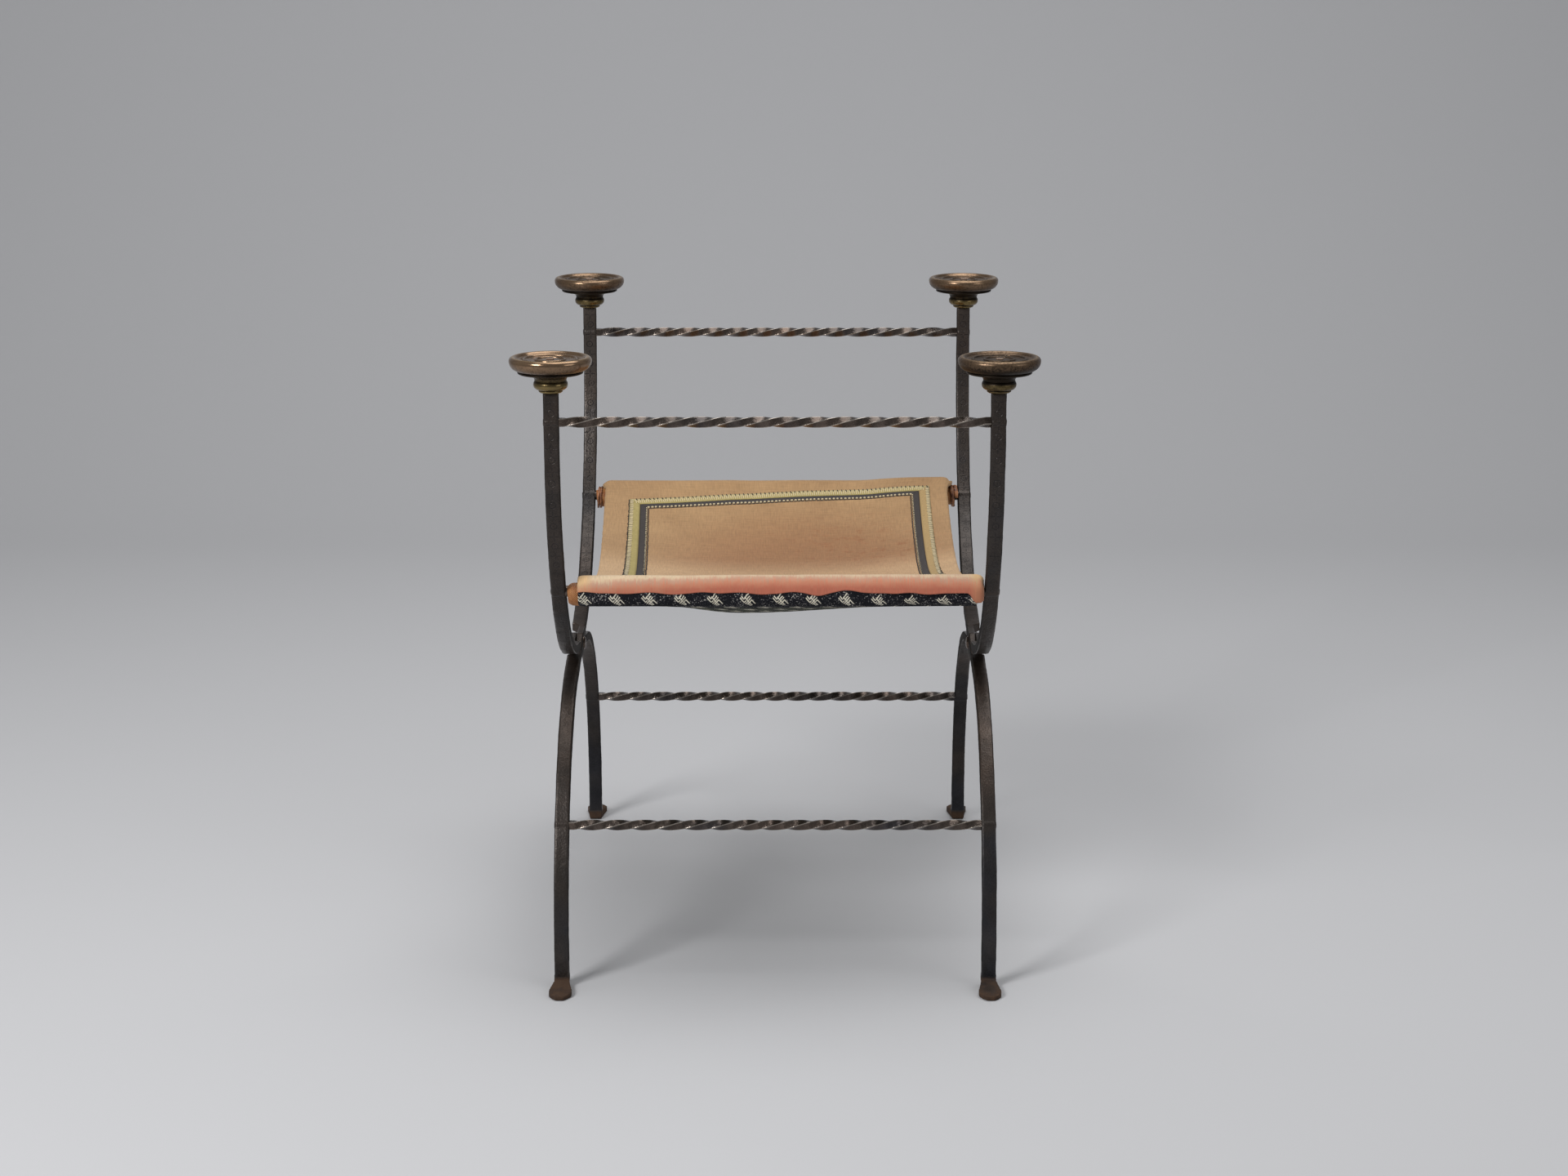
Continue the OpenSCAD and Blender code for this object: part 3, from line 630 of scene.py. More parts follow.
# The underside of the rim is painted darker with tarnish, as shade
under = add("MapRange", (up_axis, 35.5 * MM, 27 * MM, 0.0, 0.55))
under = add("Math.MULTIPLY", (under, skin))
tarnish = add("Math.ADD", (under, tarnish))
tarnish = add("Math.ADD", (hollow_tarnish_and_painted_light, tarnish), use_clamp=True)
gold = add("Mix.RGBA", (tarnish, gold, "#241c14"))
rough = add("MapRange", (tarnish, 0.0, 0.8, 0.17, 0.45))
rings = add("Math.ADD", (out_from_axis, up_axis))
rings = add("TexNoise", (rings, 1400, 2), noise_dimensions="1D")
relief = add("Math.MULTIPLY", (speck, 0.6))
relief = add("Math.ADD", (relief, rings))
relief = add("Bump", {"Height": relief, "Strength": 0.06, "Distance": 0.2 * MM})
feed(shader, {"Base Color": gold, "Metallic": 0.85, "Roughness": rough, "Normal": relief})

# Each hollow between two heights and two radii, in millimetres, and how dark it is
hollows = ((11, 17.5, 0, 22, 0.7), (20, 25, 0, 36, 0.7), (34, 40, 0, 32, 0.3), (3.2, 5.2, 0, 14.2, 0.8))
# Each finial's tarnish is shifted to paint light and shade: the front left one lighter, as lit, the others darker, the
# front right one most, as shaded
for where, body, side, end, painted_light_and_shade in (("front_left", "outer_frame", -1, -1, -0.25),
                                     ("front_right", "outer_frame", 1, -1, 0.42),
                                     ("rear_left", "inner_frame", -1, 1, 0.15),
                                     ("rear_right", "inner_frame", 1, 1, 0.1)):
    centre = Vector((side * bar_x, end * arm_y, bar_top_z))
    bm = turned([(r * MM, z * MM) for r, z in finial_line], Matrix.Translation(centre), 128)
    finial = piece(bm, f"bronze_finial_{where}", bronze, sharp=50)
    places = finial.data.attributes.new("lathe_place", "FLOAT_VECTOR", "POINT")
    for v, stored in zip(finial.data.vertices, places.data):
        r, z = (v.co - centre).xy.length / MM, v.co.z - centre.z
        deep = 0.0
        for low, high, inner, outer, amount in hollows:
            if low < z / MM < high and inner <= r < outer:
                deep = max(deep, amount)
        stored.vector = (r * MM, z, deep + painted_light_and_shade)
    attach(finial, body)
    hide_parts(f"finial_{where}")

# Seat rods
# Two round iron rods with the same tenons as the stretchers. The seat hangs on them.
for where, body in (("front", "outer_frame"), ("rear", "inner_frame")):
    low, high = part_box(f"seat_rod_{where}")
    y = (low.y + high.y) / 2
    turn = lying((0, y, rod_z))
    half = clear_w / 2
    reach = half + 1 * MM
    shaft = turned([(0, -reach), (6 * MM, -reach), (6 * MM, reach), (0, reach)], turn, 40)
    rod = piece(merged([shaft] + tenon_ends(y, rod_z)), f"iron_seat_rod_{where}", wrought_iron, sharp=40)
    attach(rod, body)
    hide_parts(f"seat_rod_{where}")

# Rod wraps
# Each rod is wound from end to end with a strip of tan calf leather, edge to edge, so that the cloth can't chafe
# on the iron. It shows only in the gaps beside the bars.
wrap_r = 10.7 * MM
wrap_t = 2.2 * MM
strip_w = 4.6 * MM
wrap_l = clear_w - 2 * MM
cloth_end = 196 * MM  # how far from the middle the bare ends begin

# Vegetable-tanned calf, rubbed and dry: orange-tan, darker in the joins, with a grain of about 0.8 mm
leather, tree, shader = material("calf_leather_wound")
place = add("TexCoord", out="Object")
cloud = add("TexNoise", (place, 90, 4, 0.6))
grain = add("TexVoronoi", {"Vector": place, "Scale": 1300, "Randomness": 1})
# The front left end is bound with fine cord in a net, whose meshes are 2.3 mm wide
x_at, y_at, z_at = (add("SeparateXYZ", (place,), out=axis) for axis in "XYZ")
y_off = add("Math.ADD", (y_at, rod_y))
z_off = add("Math.ADD", (z_at, 3.3 * MM - rod_z))
turn_at = add("Math.ARCTAN2", (z_off, y_off))
x_turn = add("Math.MULTIPLY", (x_at, math.pi / (2.3 * MM)))
ways = []
for meshes_round in (16.0, -16.0):
    way = add("Math.MULTIPLY_ADD", (turn_at, meshes_round, x_turn))
    way = add("Math.SINE", (way,))
    ways.append(add("Math.ABSOLUTE", (way,)))
net = add("Math.MULTIPLY", ways)
at_left = add("Math.LESS_THAN", (x_at, -cloth_end))
at_front = add("Math.LESS_THAN", (y_at, 0.0))
netted = add("Math.MULTIPLY", (at_left, at_front))
tan = add("ValToRGB", (cloud,))
stops(tan, (0.3, "#8e5327"), (0.7, "#c98f56"))
meshes = add("MapRange", (net, 0.15, 0.6, 0.9, 0.0))
meshes = add("Math.MULTIPLY", (meshes, netted))
tan = add("Mix.RGBA", (meshes, tan, "#7c4a22"))
relief = add("Math.MULTIPLY_ADD", (meshes, -3.0, grain))
relief = add("Bump", {"Height": relief, "Strength": 0.5, "Distance": 0.2 * MM})
feed(shader, {"Base Color": tan, "Roughness": 0.62, "Normal": relief})

# How far each end swells and sinks, in millimetres
end_shape = {("front", "left"): (1.8, 3.3), ("front", "right"): (0.0, 0.0), ("rear", "left"): (1.2, 2.2),
             ("rear", "right"): (0.4, 0.5)}
for where, body, y in (("front", "outer_frame", -rod_y), ("rear", "inner_frame", rod_y)):
    bm = bmesh.new()
    top = rod_z + wrap_r
    rounds = round((wrap_l - strip_w) / strip_w)
    pitch = (wrap_l - strip_w) / rounds
    start = -wrap_l / 2 + strip_w / 2
    half = pitch / 2 - 0.05 * MM
    rim = rim_of(bm, [(start - half, y, top - wrap_t), (start + half, y, top - wrap_t), (start + half, y, top),
                      (start - half, y, top)], 0.8 * MM)
    sweep(bm, rim, 24, (pitch, 0, 0), 2 * math.pi, (0, y, rod_z))
    wrap = piece(bm, f"leather_wrap_{where}", leather)
    turns_on = wrap.modifiers.new("turns", "ARRAY")
    turns_on.count = rounds
    turns_on.use_relative_offset = False
    turns_on.use_constant_offset = True
    turns_on.constant_offset_displace = (pitch, 0, 0)
    turns_on.use_merge_vertices = True
    turns_on.merge_threshold = 0.02 * MM
    applied(wrap)
    bm = bmesh.new()
    bm.from_mesh(wrap.data)
    capped(bm)
    for v in bm.verts:
        swelling, drop = end_shape[where, "left" if v.co.x < 0 else "right"]
        into = smooth(clamped((abs(v.co.x) - cloth_end) / (17 * MM)))
        shoulder = max(0.0, 1 - (wrap_l / 2 - abs(v.co.x)) / (8 * MM)) ** 2
        out = v.co.yz - Vector((y, rod_z))
        if out.length > wrap_r - wrap_t / 2:
            r = out.length + (wrap_r - out.length) * into + (swelling * into - 4.4 * shoulder) * MM
            v.co.yz = Vector((y, rod_z)) + out.normalized() * r
        v.co.z -= drop * into * MM
    hammered(bm, 0.15 * MM, 120, y)
    bmesh.ops.recalc_face_normals(bm, faces=bm.faces)
    bm.to_mesh(wrap.data)
    bm.free()
    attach(wrap, body)
    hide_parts(f"rod_wrap_{where}")

# Lashings
# A brown thong is tied round each end of the rear wrap, beside the cloth: two turns at the left, one and a half at
# the right. Its ends are tucked in behind the rod.
thong_r = wrap_r + 1.5 * MM

# A rawhide thong, brown with age and handling, with a dull shine, and lighter where it was rubbed
thong_leather, tree, shader = material("rawhide_thong")
place = add("TexCoord", out="Object")
cloud = add("TexNoise", (place, 160, 3, 0.6))
brown = add("ValToRGB", (cloud,))
stops(brown, (0.35, "#4a2618"), (0.62, "#a9714a"))
relief = add("Bump", {"Height": cloud, "Strength": 0.4, "Distance": 0.3 * MM})
feed(shader, {"Base Color": brown, "Roughness": 0.5, "Normal": relief})

for hand, side, rounds, slant, wide, sink in (("left", -1, 2.0, 3.1, 1.3, 2.4), ("right", 1, 1.5, 4.6, 2.3, 0.6)):
    bm = bmesh.new()
    start = Vector((wrap_l / 2 - 8 * MM, rod_y + thong_r + 0.5 * MM, rod_z - sink * MM))
    bmesh.ops.create_circle(bm, segments=12, radius=1.3 * MM,
                            matrix=Matrix.Translation(start) @ Matrix.Diagonal((wide / 1.3, 0.85, 1.0, 1.0)))
    rim = list(bm.verts) + list(bm.edges)
    rim = sweep(bm, rim, int(32 * rounds), (rounds * slant * MM, 0, 0), 2 * math.pi * rounds,
                (0, rod_y, rod_z - sink * MM))
    bm = hammered(capped(bm), 0.6 * MM, 150, side)
    bmesh.ops.scale(bm, vec=(side, 1, 1), verts=bm.verts)
    thong = piece(bm, f"thong_lashing_{hand}", thong_leather)
    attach(thong, "inner_frame")
    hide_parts(f"lashing_{hand}")

# Lining
# One length of navy cotton with woven cream motifs hangs under the velvet, from the undersides of the rods. At each
# end it goes up and about 1.3 times round the wrapped rod, as the sleeve below the velvet's hem.
wrap_w_front = 440 * MM
wrap_w_rear = 432 * MM
shift_front = 6 * MM
shift_rear = 0.5 * MM
half_cloth = 220 * MM
fuller_x = 95 * MM  # from here to the right the rolls are bunched differently
# In millimetres: how far the seat sinks at its sides, and how much further in the middle
side_sag, more_sag = 30, 17
lead_y = rod_y - (17.3 * math.sin(math.atan(2 * (side_sag + more_sag) * MM / rod_y)) + 0.3) * MM


def cloth_half(y):
    """Half the width of the hanging cloth: its sides draw in between the rods."""
    u = max(-1.0, min(1.0, y / lead_y))
    free = smooth(1 - max(0.0, (abs(u) - 0.93) / 0.07))
    return (wrap_w_front + wrap_w_rear) / 4 + (wrap_w_rear - wrap_w_front) / 4 * u - (12.4 - 8.35 * u) * MM * free


def cloth_shift(y):
    """How far to the right the cloth lies."""
    u = max(-1.0, min(1.0, y / lead_y))
    return (shift_front + shift_rear) / 2 + (shift_rear - shift_front) / 2 * u


def cloth_sag(x):
    """How far the seat sinks between the rods."""
    return (side_sag + more_sag * (1 - (x / half_cloth) ** 2)) * MM


def lead_angle(x, r):
    """The angle at which the cloth leaves a roll of this radius, where the sag is that of this place."""
    angle = math.radians(18)
    for _ in range(6):
        angle = math.atan(2 * cloth_sag(x) / (rod_y - r * math.sin(angle)))
    return angle


def span_height(x, y, r, other_r):
    """The height of the cloth between two rolls, seen from the half that hangs from the first, and where it starts."""
    angle, other_angle = lead_angle(x, r), lead_angle(x, other_r)
    end = rod_y - r * math.sin(angle)
    level = (other_r * math.cos(other_angle) - r * math.cos(angle)) / 2 * (1 - abs(y) / end) ** 2
    return rod_z + r * math.cos(angle) + level - cloth_sag(x) * (1 - (y / end) ** 2), end


def curve_length(y, end, sag):
    """The length of the hanging curve from the middle of the seat to a place on it."""
    return y + 2 * sag * sag * y ** 3 / (3 * end ** 4)


def on_roll(side, angle, r):
    """A place on a roll: the angle is 0 on the outside, and a right angle at the crest."""
    return side * (rod_y + r * math.cos(angle)), rod_z + r * math.sin(angle)


def laid_grid(columns, rows, place_point):
    """A grid whose points are placed one by one, face up, with its flat cut as a UV map in metres."""
    bm = bmesh.new()
    bmesh.ops.create_grid(bm, x_segments=columns, y_segments=rows, size=1)
    cut = bm.loops.layers.uv.new("cut")
    flat = {}
    for v in bm.verts:
        v.co, flat[v] = place_point(v.co.x, v.co.y)
    for f in bm.faces:
        for loop in f.loops:
            loop[cut].uv = flat[loop.vert]
    bm.normal_update()
    if sum(f.normal.z for f in bm.faces) < 0:
        bmesh.ops.reverse_faces(bm, faces=bm.faces)
    return bm


def sheet_piece(bm, name, thickness, finish):
    """A sheet of cloth, whose thickness lies below the points that were placed."""
    made = linked(bm, name, finish)
    thick = made.modifiers.new("thickness", "SOLIDIFY")
    thick.thickness = thickness
    thick.offset = -1
    return made


def roll_noise(x, seed):
    """Lumps along a roll, between -1 and 1."""
    return noise.noise(Vector((x * 14 + seed, seed, 0.3))) * 0.7 + noise.noise(Vector((x * 45 + seed, 2.7, seed))) * 0.3


lining_r = 15.0 * MM
lining_in = 13.1 * MM
lining_t = 1.7 * MM
lining_turn = math.radians(470)
lining_hang = 0.4  # the part of t between the rods
lining_long_half = rod_y + 9 * MM


def lining_sag(x):
    """How far the lining sinks between the rods. It is fullest a little to the left of the middle."""
    off = x + 42 * MM
    full = 0.5 + 0.5 * math.cos(math.pi * min(1.0, abs(off) / (178 * MM if off < 0 else 375 * MM)))
    return (10 + 42 * full) * MM


def lining_point(u, t):
    """A place in the lining: u is across, and t runs from the front sleeve to the rear one."""
    side = 1 if t > 0 else -1
    a = abs(t)
    wide = wrap_w_front if side < 0 else wrap_w_rear
    half = wide / 2 - (1 if side < 0 and u < 0 else 7) * MM
    x = cloth_shift(side * lead_y) + half * u
    sag = lining_sag(x)
    under = math.atan(2 * sag / rod_y)
    end = rod_y + lining_r * math.sin(under)
    lead_v = lining_long_half + lining_r * (under - math.radians(20))
    if a <= lining_hang:
        y = a / lining_hang * end
        x = cloth_shift(side * y) + (cloth_half(y * side) - 1.5 * MM * (1 - a / lining_hang)) * u * half / (wide / 2)
        z = rod_z - lining_r * math.cos(under) - sag * (1 - (y / end) ** 2)
        part = curve_length(y, end, sag) / curve_length(end, end, sag)
        return Vector((x, side * y, z)), (u * half, side * lead_v * part)
    turned_by = (a - lining_hang) / (1 - lining_hang) * lining_turn
    angle = under - math.pi / 2 + turned_by
    into = smooth(clamped((angle - math.radians(115)) / math.radians(110)))
    drawn = max(0.0, 1 - (1 - abs(u)) * half / (9 * MM)) ** 2 * (1 - into)
    slim = clamped((x - fuller_x) / (60 * MM)) * (1 - into)
    r = lining_r - (lining_r - lining_in) * into + (0.35 * roll_noise(x, side * 3.1) - 2.2 * slim - 1.4 * drawn) * MM
    y, z = on_roll(side, angle, r)
    wound = turned_by * (lining_r if turned_by < 3.4 else (lining_r + lining_in) / 2)
    return Vector((x, y, z)), (u * half, side * (lead_v + wound))


# Navy cotton, woven with cream yarn: a dark, fine twill with pale worn flecks, and rows of fret motifs, which are
# 35.5 mm apart and have straight strokes that are 1 mm wide and stand 2 mm apart
navy, tree, shader = material("navy_cotton_brocaded")
cut = add("UVMap", uv_map="cut")
fleck = add("TexNoise", (cut, 520, 3, 0.7))
cloud = add("TexNoise", (cut, 60, 4, 0.65))
worn = add("Math.MULTIPLY", (cloud, 0.45))
worn = add("Math.ADD", (fleck, worn))
ground = add("ValToRGB", (worn,))
stops(ground, (0.58, "#121318"), (0.91, "#d9d4cb"), (0.78, "#1a1b22"), (0.84, "#4a494f"))
sleeve_row = math.radians(-27)
row_v = lining_long_half + lining_r * (sleeve_row + math.radians(70))
pitch_u, pitch_v = 35.5 * MM, 22 * MM
shifted = add("VectorMath.ADD", (cut, (-0.2 * MM, row_v, 0)))
u_at, v_at = (add("SeparateXYZ", (shifted,), out=axis) for axis in "XY")
# The cloth is wound a little askew, so the row runs 4 mm lower at the right end of the sleeve
askew = add("MapRange", (u_at, 60 * MM, 150 * MM, 0, 4 * MM), interpolation_type="SMOOTHSTEP")
v_at = add("Math.SUBTRACT", (v_at, askew))
row_number = add("Math.DIVIDE", (v_at, pitch_v))
row_number = add("Math.ROUND", (row_number,))
odd = add("Math.FLOORED_MODULO", (row_number, 2.0))
odd = add("Math.MULTIPLY", (odd, pitch_u / 2))
u_off = add("Math.ADD", (u_at, odd))
column = add("Math.DIVIDE", (u_off, pitch_u))
column = add("Math.ROUND", (column,))
over = add("Math.MULTIPLY_ADD", (column, -pitch_u, u_off))
up = add("Math.MULTIPLY_ADD", (row_number, -pitch_v, v_at))
bent = add("TexNoise", (cut, 230, 1))
bent = add("Math.MULTIPLY_ADD", (bent, 0.4, -0.2))
# Two slanting axes, in steps of one stroke: the falling strokes run along the first, the rising ones along the second
step = 1.41421 * 2.0 * MM
over = add("Math.MULTIPLY_ADD", (over, 1 / step, bent))
up = add("Math.MULTIPLY_ADD", (up, 1 / (1.28 * step), bent))
fall = add("Math.ADD", (over, up))
rise = add("Math.SUBTRACT", (over, up))
motif = None
# Each stroke: the axis that it runs along, its place on the other axis, and its two ends
for runs, other, place_at, low, high in ((fall, rise, -2, -4, -1), (fall, rise, -1, -4, -2.2),
                                         (fall, rise, 0, -2.6, 3.2), (fall, rise, 1.8, 1, 3.8),
                                         (fall, rise, -1, 1, 2.8), (rise, fall, -1, -2, -0.7),
                                         (rise, fall, -1, 0, 2.2), (rise, fall, -2.2, -1, 2.6),
                                         (rise, fall, 0, -2.1, 2.4), (rise, fall, 1, -1.8, 1.8),
                                         (rise, fall, 2.8, -1, 0.3)):
    beside = add("Math.SUBTRACT", (other, place_at))
    beyond = add("Math.SUBTRACT", (runs, (low + high) / 2))
    stroke = add("Math.MULTIPLY", (line(beside, 0.24, 0.12), line(beyond, (high - low) / 2, 0.2)))
    motif = stroke if motif is None else add("Math.MAXIMUM", (motif, stroke))
kept = add("MapRange", (cloud, 0.3, 0.5, 0.5, 1.0))
motif = add("Math.MULTIPLY", (motif, kept))
# Between the rods the cloth hangs free, and its ground is painted a blotchy grey-green there, as the sheen of light
# thrown up from the floor
from_rods = add("SeparateXYZ", (cut,), out="Y")
from_rods = add("Math.ABSOLUTE", (from_rods,))
floor_bounce_sheen = add("MapRange", (from_rods, rod_y + 1 * MM, rod_y - 6 * MM))
blotch = add("MapRange", (cloud, 0.4, 0.62, 0.15, 0.95))
floor_bounce_sheen = add("Math.MULTIPLY", (floor_bounce_sheen, blotch))
ground = add("Mix.RGBA", (floor_bounce_sheen, ground, "#5d6052"))
cloth = add("Mix.RGBA", (motif, ground, "#f3ecd8"))
threads = add("Mapping", {"Vector": cut, "Rotation": (0, 0, math.radians(35)), "Scale": (1100, 1100, 1)})
threads = add("TexWave", {"Vector": threads, "Scale": 1.0, "Distortion": 1.2, "Detail": 1}, out="Fac")
relief = add("Math.MULTIPLY_ADD", (threads, 0.5, motif))
relief = add("Math.MULTIPLY_ADD", (fleck, 1.1, relief))
relief = add("Bump", {"Height": relief, "Strength": 0.7, "Distance": 0.5 * MM})
feed(shader, {"Base Color": cloth, "Roughness": 0.9, "Specular IOR Level": 0.2, "Normal": relief})

lining = sheet_piece(laid_grid(72, 230, lining_point), "navy_lining", lining_t, navy)
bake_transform(lining)
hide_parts("lining_sleeve_front", "lining_sleeve_rear", "lining_span")
lining_long = 2 * lining_point(0, 1)[1][1]

# Velvet seat
# One panel of old silk and cotton velvet lies over the lining, from a hem outside the front roll to a hem outside
# the rear one. Light has bleached the seat to tan, and the front roll keeps some of its red.
velvet_t = 1.9 * MM
velvet_in = 15.3 * MM
velvet_hang = 0.72  # the part of t between the rods


def velvet_r(x, side):
    """Outer radius of the velvet on a roll: the bunched lining under it makes it lumpy, and fuller to the right."""
    lumps = 0.7 * roll_noise(x, 7.0 + side)
    from_end = (wrap_w_front if side < 0 else wrap_w_rear) / 2 - abs(x - cloth_shift(side * lead_y))
    drawn = 1 - math.sqrt(1 - clamped(1 - from_end / (9 * MM)) ** 2)
    full = clamped((x - fuller_x) / (80 * MM))
    full = 1.2 + 4.2 * smooth(full) if side > 0 else 0.6 * (x / half_cloth)
    return velvet_in + velvet_t + (0.5 + full + lumps - (1.7 if side < 0 and x < 0 else 5.0) * drawn) * MM


def on_velvet(x, y, lift):
    """A place over the velvet, at a height above it."""
    side = 1 if y > 0 else -1
    z, end = span_height(x, abs(y), velvet_r(x, side), velvet_r(x, -side))
    near = min(1.0, abs(y) / end) ** 8
    ripple = 0.5 * MM * noise.noise(Vector((x * 9, y * 7, 4.0))) * (1 - near)
    return Vector((x, y, z + ripple + lift))


def velvet_point(u, t):
    """A place on the velvet: u is across, and t runs from the front hem to the rear one."""
    side = 1 if t > 0 else -1
    a = abs(t)
    wide = wrap_w_front if side < 0 else wrap_w_rear
    edge = 0.35 * MM * noise.noise(Vector((t * 30, u * 3, 1.0))) * abs(u) ** 6
    near_roll = clamped((a - 0.6) / 0.12)
    if u < 0:
        edge -= 2.6 * MM * (1 - near_roll) * abs(u) ** 6
    if side > 0:
        edge += smooth(near_roll) * (3.5 if u > 0 else -2.0) * MM * abs(u) ** 10
    if a <= velvet_hang:
        y0 = side * a / velvet_hang
        x = cloth_shift(y0 * lead_y) + cloth_half(y0 * lead_y) * u + edge
        r, other_r = velvet_r(x, side), velvet_r(x, -side)
        end = span_height(x, 0, r, other_r)[1]
        y = abs(y0) * end
        return on_velvet(x, side * y, 0), (u * wide / 2, side * curve_length(y, end, cloth_sag(x)))
    half = wide / 2
    x = cloth_shift(side * lead_y) + half * u + edge
    r = velvet_r(x, side)
    angle0 = math.pi / 2 + lead_angle(x, r)
    lip = clamped((half * u - 203 * MM) / (8 * MM)) if side < 0 else 0.0
    wavy = roll_noise(x, 21.0 + side) * 8 + noise.noise(Vector((x * 32, 4.1, side))) * 13
    hem = math.radians(5 + wavy - 34 * smooth(lip))
    angle = angle0 - (a - velvet_hang) / (1 - velvet_hang) * (angle0 - hem)
    last = max(0.0, 1 - (angle - hem) / math.radians(9))
    r += 0.5 * MM * last
    y, z = on_roll(side, angle, r)
    end = rod_y - r * math.sin(angle0 - math.pi / 2)
    length = curve_length(end, end, cloth_sag(x)) + (angle0 - angle) * r
    return Vector((x, y, z)), (u * wide / 2, side * length)


# Velvet with a worn pile: tan over threads about 1.6 mm apart, browner and stained where it was sat on, and paler
# towards the front. On the front roll it goes from cream to faded red.
velvet, tree, shader = material("worn_velvet")
cut = add("UVMap", uv_map="cut")
u_at, v_at = (add("SeparateXYZ", (cut,), out=axis) for axis in "XY")
cloud = add("TexNoise", (cut, 14, 5, 0.6))
blot = add("TexNoise", (cut, 55, 4, 0.65))
warp_stretch = add("Mapping", {"Vector": cut, "Scale": (620, 45, 1)})
warp = add("TexNoise", (warp_stretch, 1, 2, 0.6))
weft_stretch = add("Mapping", {"Vector": cut, "Scale": (40, 620, 1)})
weft = add("TexNoise", (weft_stretch, 1, 2, 0.6))
# Where it was sat on: an oval in the middle, browner to the right
from_middle = add("VectorMath.ADD", (cut, (-0.03, 0.02, 0)))
from_middle = add("VectorMath.MULTIPLY", (from_middle, (5.6, 5.0, 0)))
from_middle = add("VectorMath.LENGTH", (from_middle,))
seat_wear = add("MapRange", (from_middle, 1.35, 0.45), interpolation_type="SMOOTHSTEP")
base = add("Mix.RGBA", (cloud, "#8d6b47", "#b39066"))
worn_brown = add("Mix.RGBA", (blot, "#855a37", "#a27a54"))
seat = add("Mix.RGBA", (seat_wear, base, worn_brown))
to_right = add("MapRange", (u_at, -0.02, 0.10, 0.35, 0.95))
stain = add("MapRange", (blot, 0.50, 0.68, 0.0, 0.9))
stain = add("Math.MULTIPLY", (stain, to_right))
stain = add("Math.MULTIPLY", (stain, seat_wear))
seat = add("Mix.RGBA", (stain, seat, "#834f2c"))

roll_start = lead_y + 4 * MM
# From the middle of the seat towards the front roll the pile is paler
paler_to_front = add("MapRange", (v_at, 20 * MM, -60 * MM, 0.0, 0.6))
seat = add("Mix.RGBA", (paler_to_front, seat, "#c4a27b"))
front_roll = add("MapRange", (v_at, -roll_start + 5 * MM, -roll_start - 4 * MM), interpolation_type="SMOOTHSTEP")
down = add("MapRange", (v_at, -roll_start - 10 * MM, -roll_start - 30 * MM))
streak = add("Math.MULTIPLY_ADD", (warp, 0.9, -0.45))
down = add("Math.ADD", (down, streak))
down = add("Math.MULTIPLY_ADD", (blot, 0.6, down))
# Redder from the middle to the right, and still cream at the left end
redder = add("MapRange", (u_at, -0.19, -0.06, -0.5, -0.22))
down = add("Math.ADD", (down, redder))
roll = add("ValToRGB", (down,))
stops(roll, (0.0, "#cab292"), (1.0, "#a9604a"), (0.3, "#b38c74"), (0.65, "#b5775c"))
ends = add("Math.ABSOLUTE", (u_at,))
ends = add("MapRange", (ends, 0.203, 0.211, 0.0, 0.85))
low_down = add("MapRange", (down, 0.1, 0.6, 1.0, 0.25))
ends = add("Math.MULTIPLY", (ends, low_down))
roll = add("Mix.RGBA", (ends, roll, "#cba676"))
pile = add("Mix.RGBA", (front_roll, seat, roll))
weft = add("Mix", (front_roll, weft, 0.5))
thread_tone = add("Math.ADD", (warp, weft))
thread_tone = add("MapRange", (thread_tone, 0.7, 1.3, 0.82, 1.16))
pile = toned(pile, thread_tone)
relief = add("Math.ADD", (warp, weft))
relief = add("Math.MULTIPLY_ADD", (blot, 1.2, relief))
relief = add("Bump", {"Height": relief, "Strength": 0.5, "Distance": 0.5 * MM})
feed(shader, {"Base Color": pile, "Roughness": 0.9, "Sheen Weight": 0.06, "Sheen Roughness": 0.45, "Normal": relief})

seat_cloth = sheet_piece(laid_grid(150, 190, velvet_point), "velvet_seat", velvet_t, velvet)
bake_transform(seat_cloth)
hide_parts("velvet_fold_front", "velvet_fold_rear", "velvet_span")

# Seat border
# A woven tape, 13 mm wide, frames the seat, with a dark ribbon of 8.6 mm beside it. Both are sewn down by hand, with
# cream and black stitches over their edges.

# The border's outer corners in millimetres, rear ones first
corner_bl, corner_br = Vector((-181, 210)), Vector((190, 238.5))
corner_fr, corner_fl = Vector((186, -243)), Vector((-168, -243))


def border_place(leg, s, inset):
    """A place in the border, in the plane of the seat: s runs along a leg, and the inset is from its outer line."""
    d = inset
    corners = [corner_fl + Vector((d, d)), corner_bl + Vector((d, -d)), corner_br + Vector((-d, -d)),
               corner_fr + Vector((-d, d))]
    p = corners[leg].lerp(corners[(leg + 1) % 4], s)
    if leg == 1:  # the rear side bows 11 mm backwards
        p.y += 11 * 4 * s * (1 - s)
    return p * MM


# The lengths of its left, rear, right and front side
leg_long = [463 * MM, 373 * MM, 493 * MM, 351 * MM]


def border_strip(name, inner, width, thickness, finish):
    """A strip round the seat, mitred at its corners and flat on the velvet."""
    def strip_point(leg, u, t):
        s, d = (u + 1) / 2, inner + (t + 1) / 2 * width
        p = border_place(leg, s, d)
        crown = 0.25 * MM * (1 - t ** 4)
        return on_velvet(p.x, p.y, thickness + crown), ((leg + s) * leg_long[leg], d * MM)

    strips = [laid_grid(140, 5, lambda u, t, leg=leg: strip_point(leg, u, t)) for leg in range(4)]
    return sheet_piece(merged(strips, closed=False), name, thickness, finish)


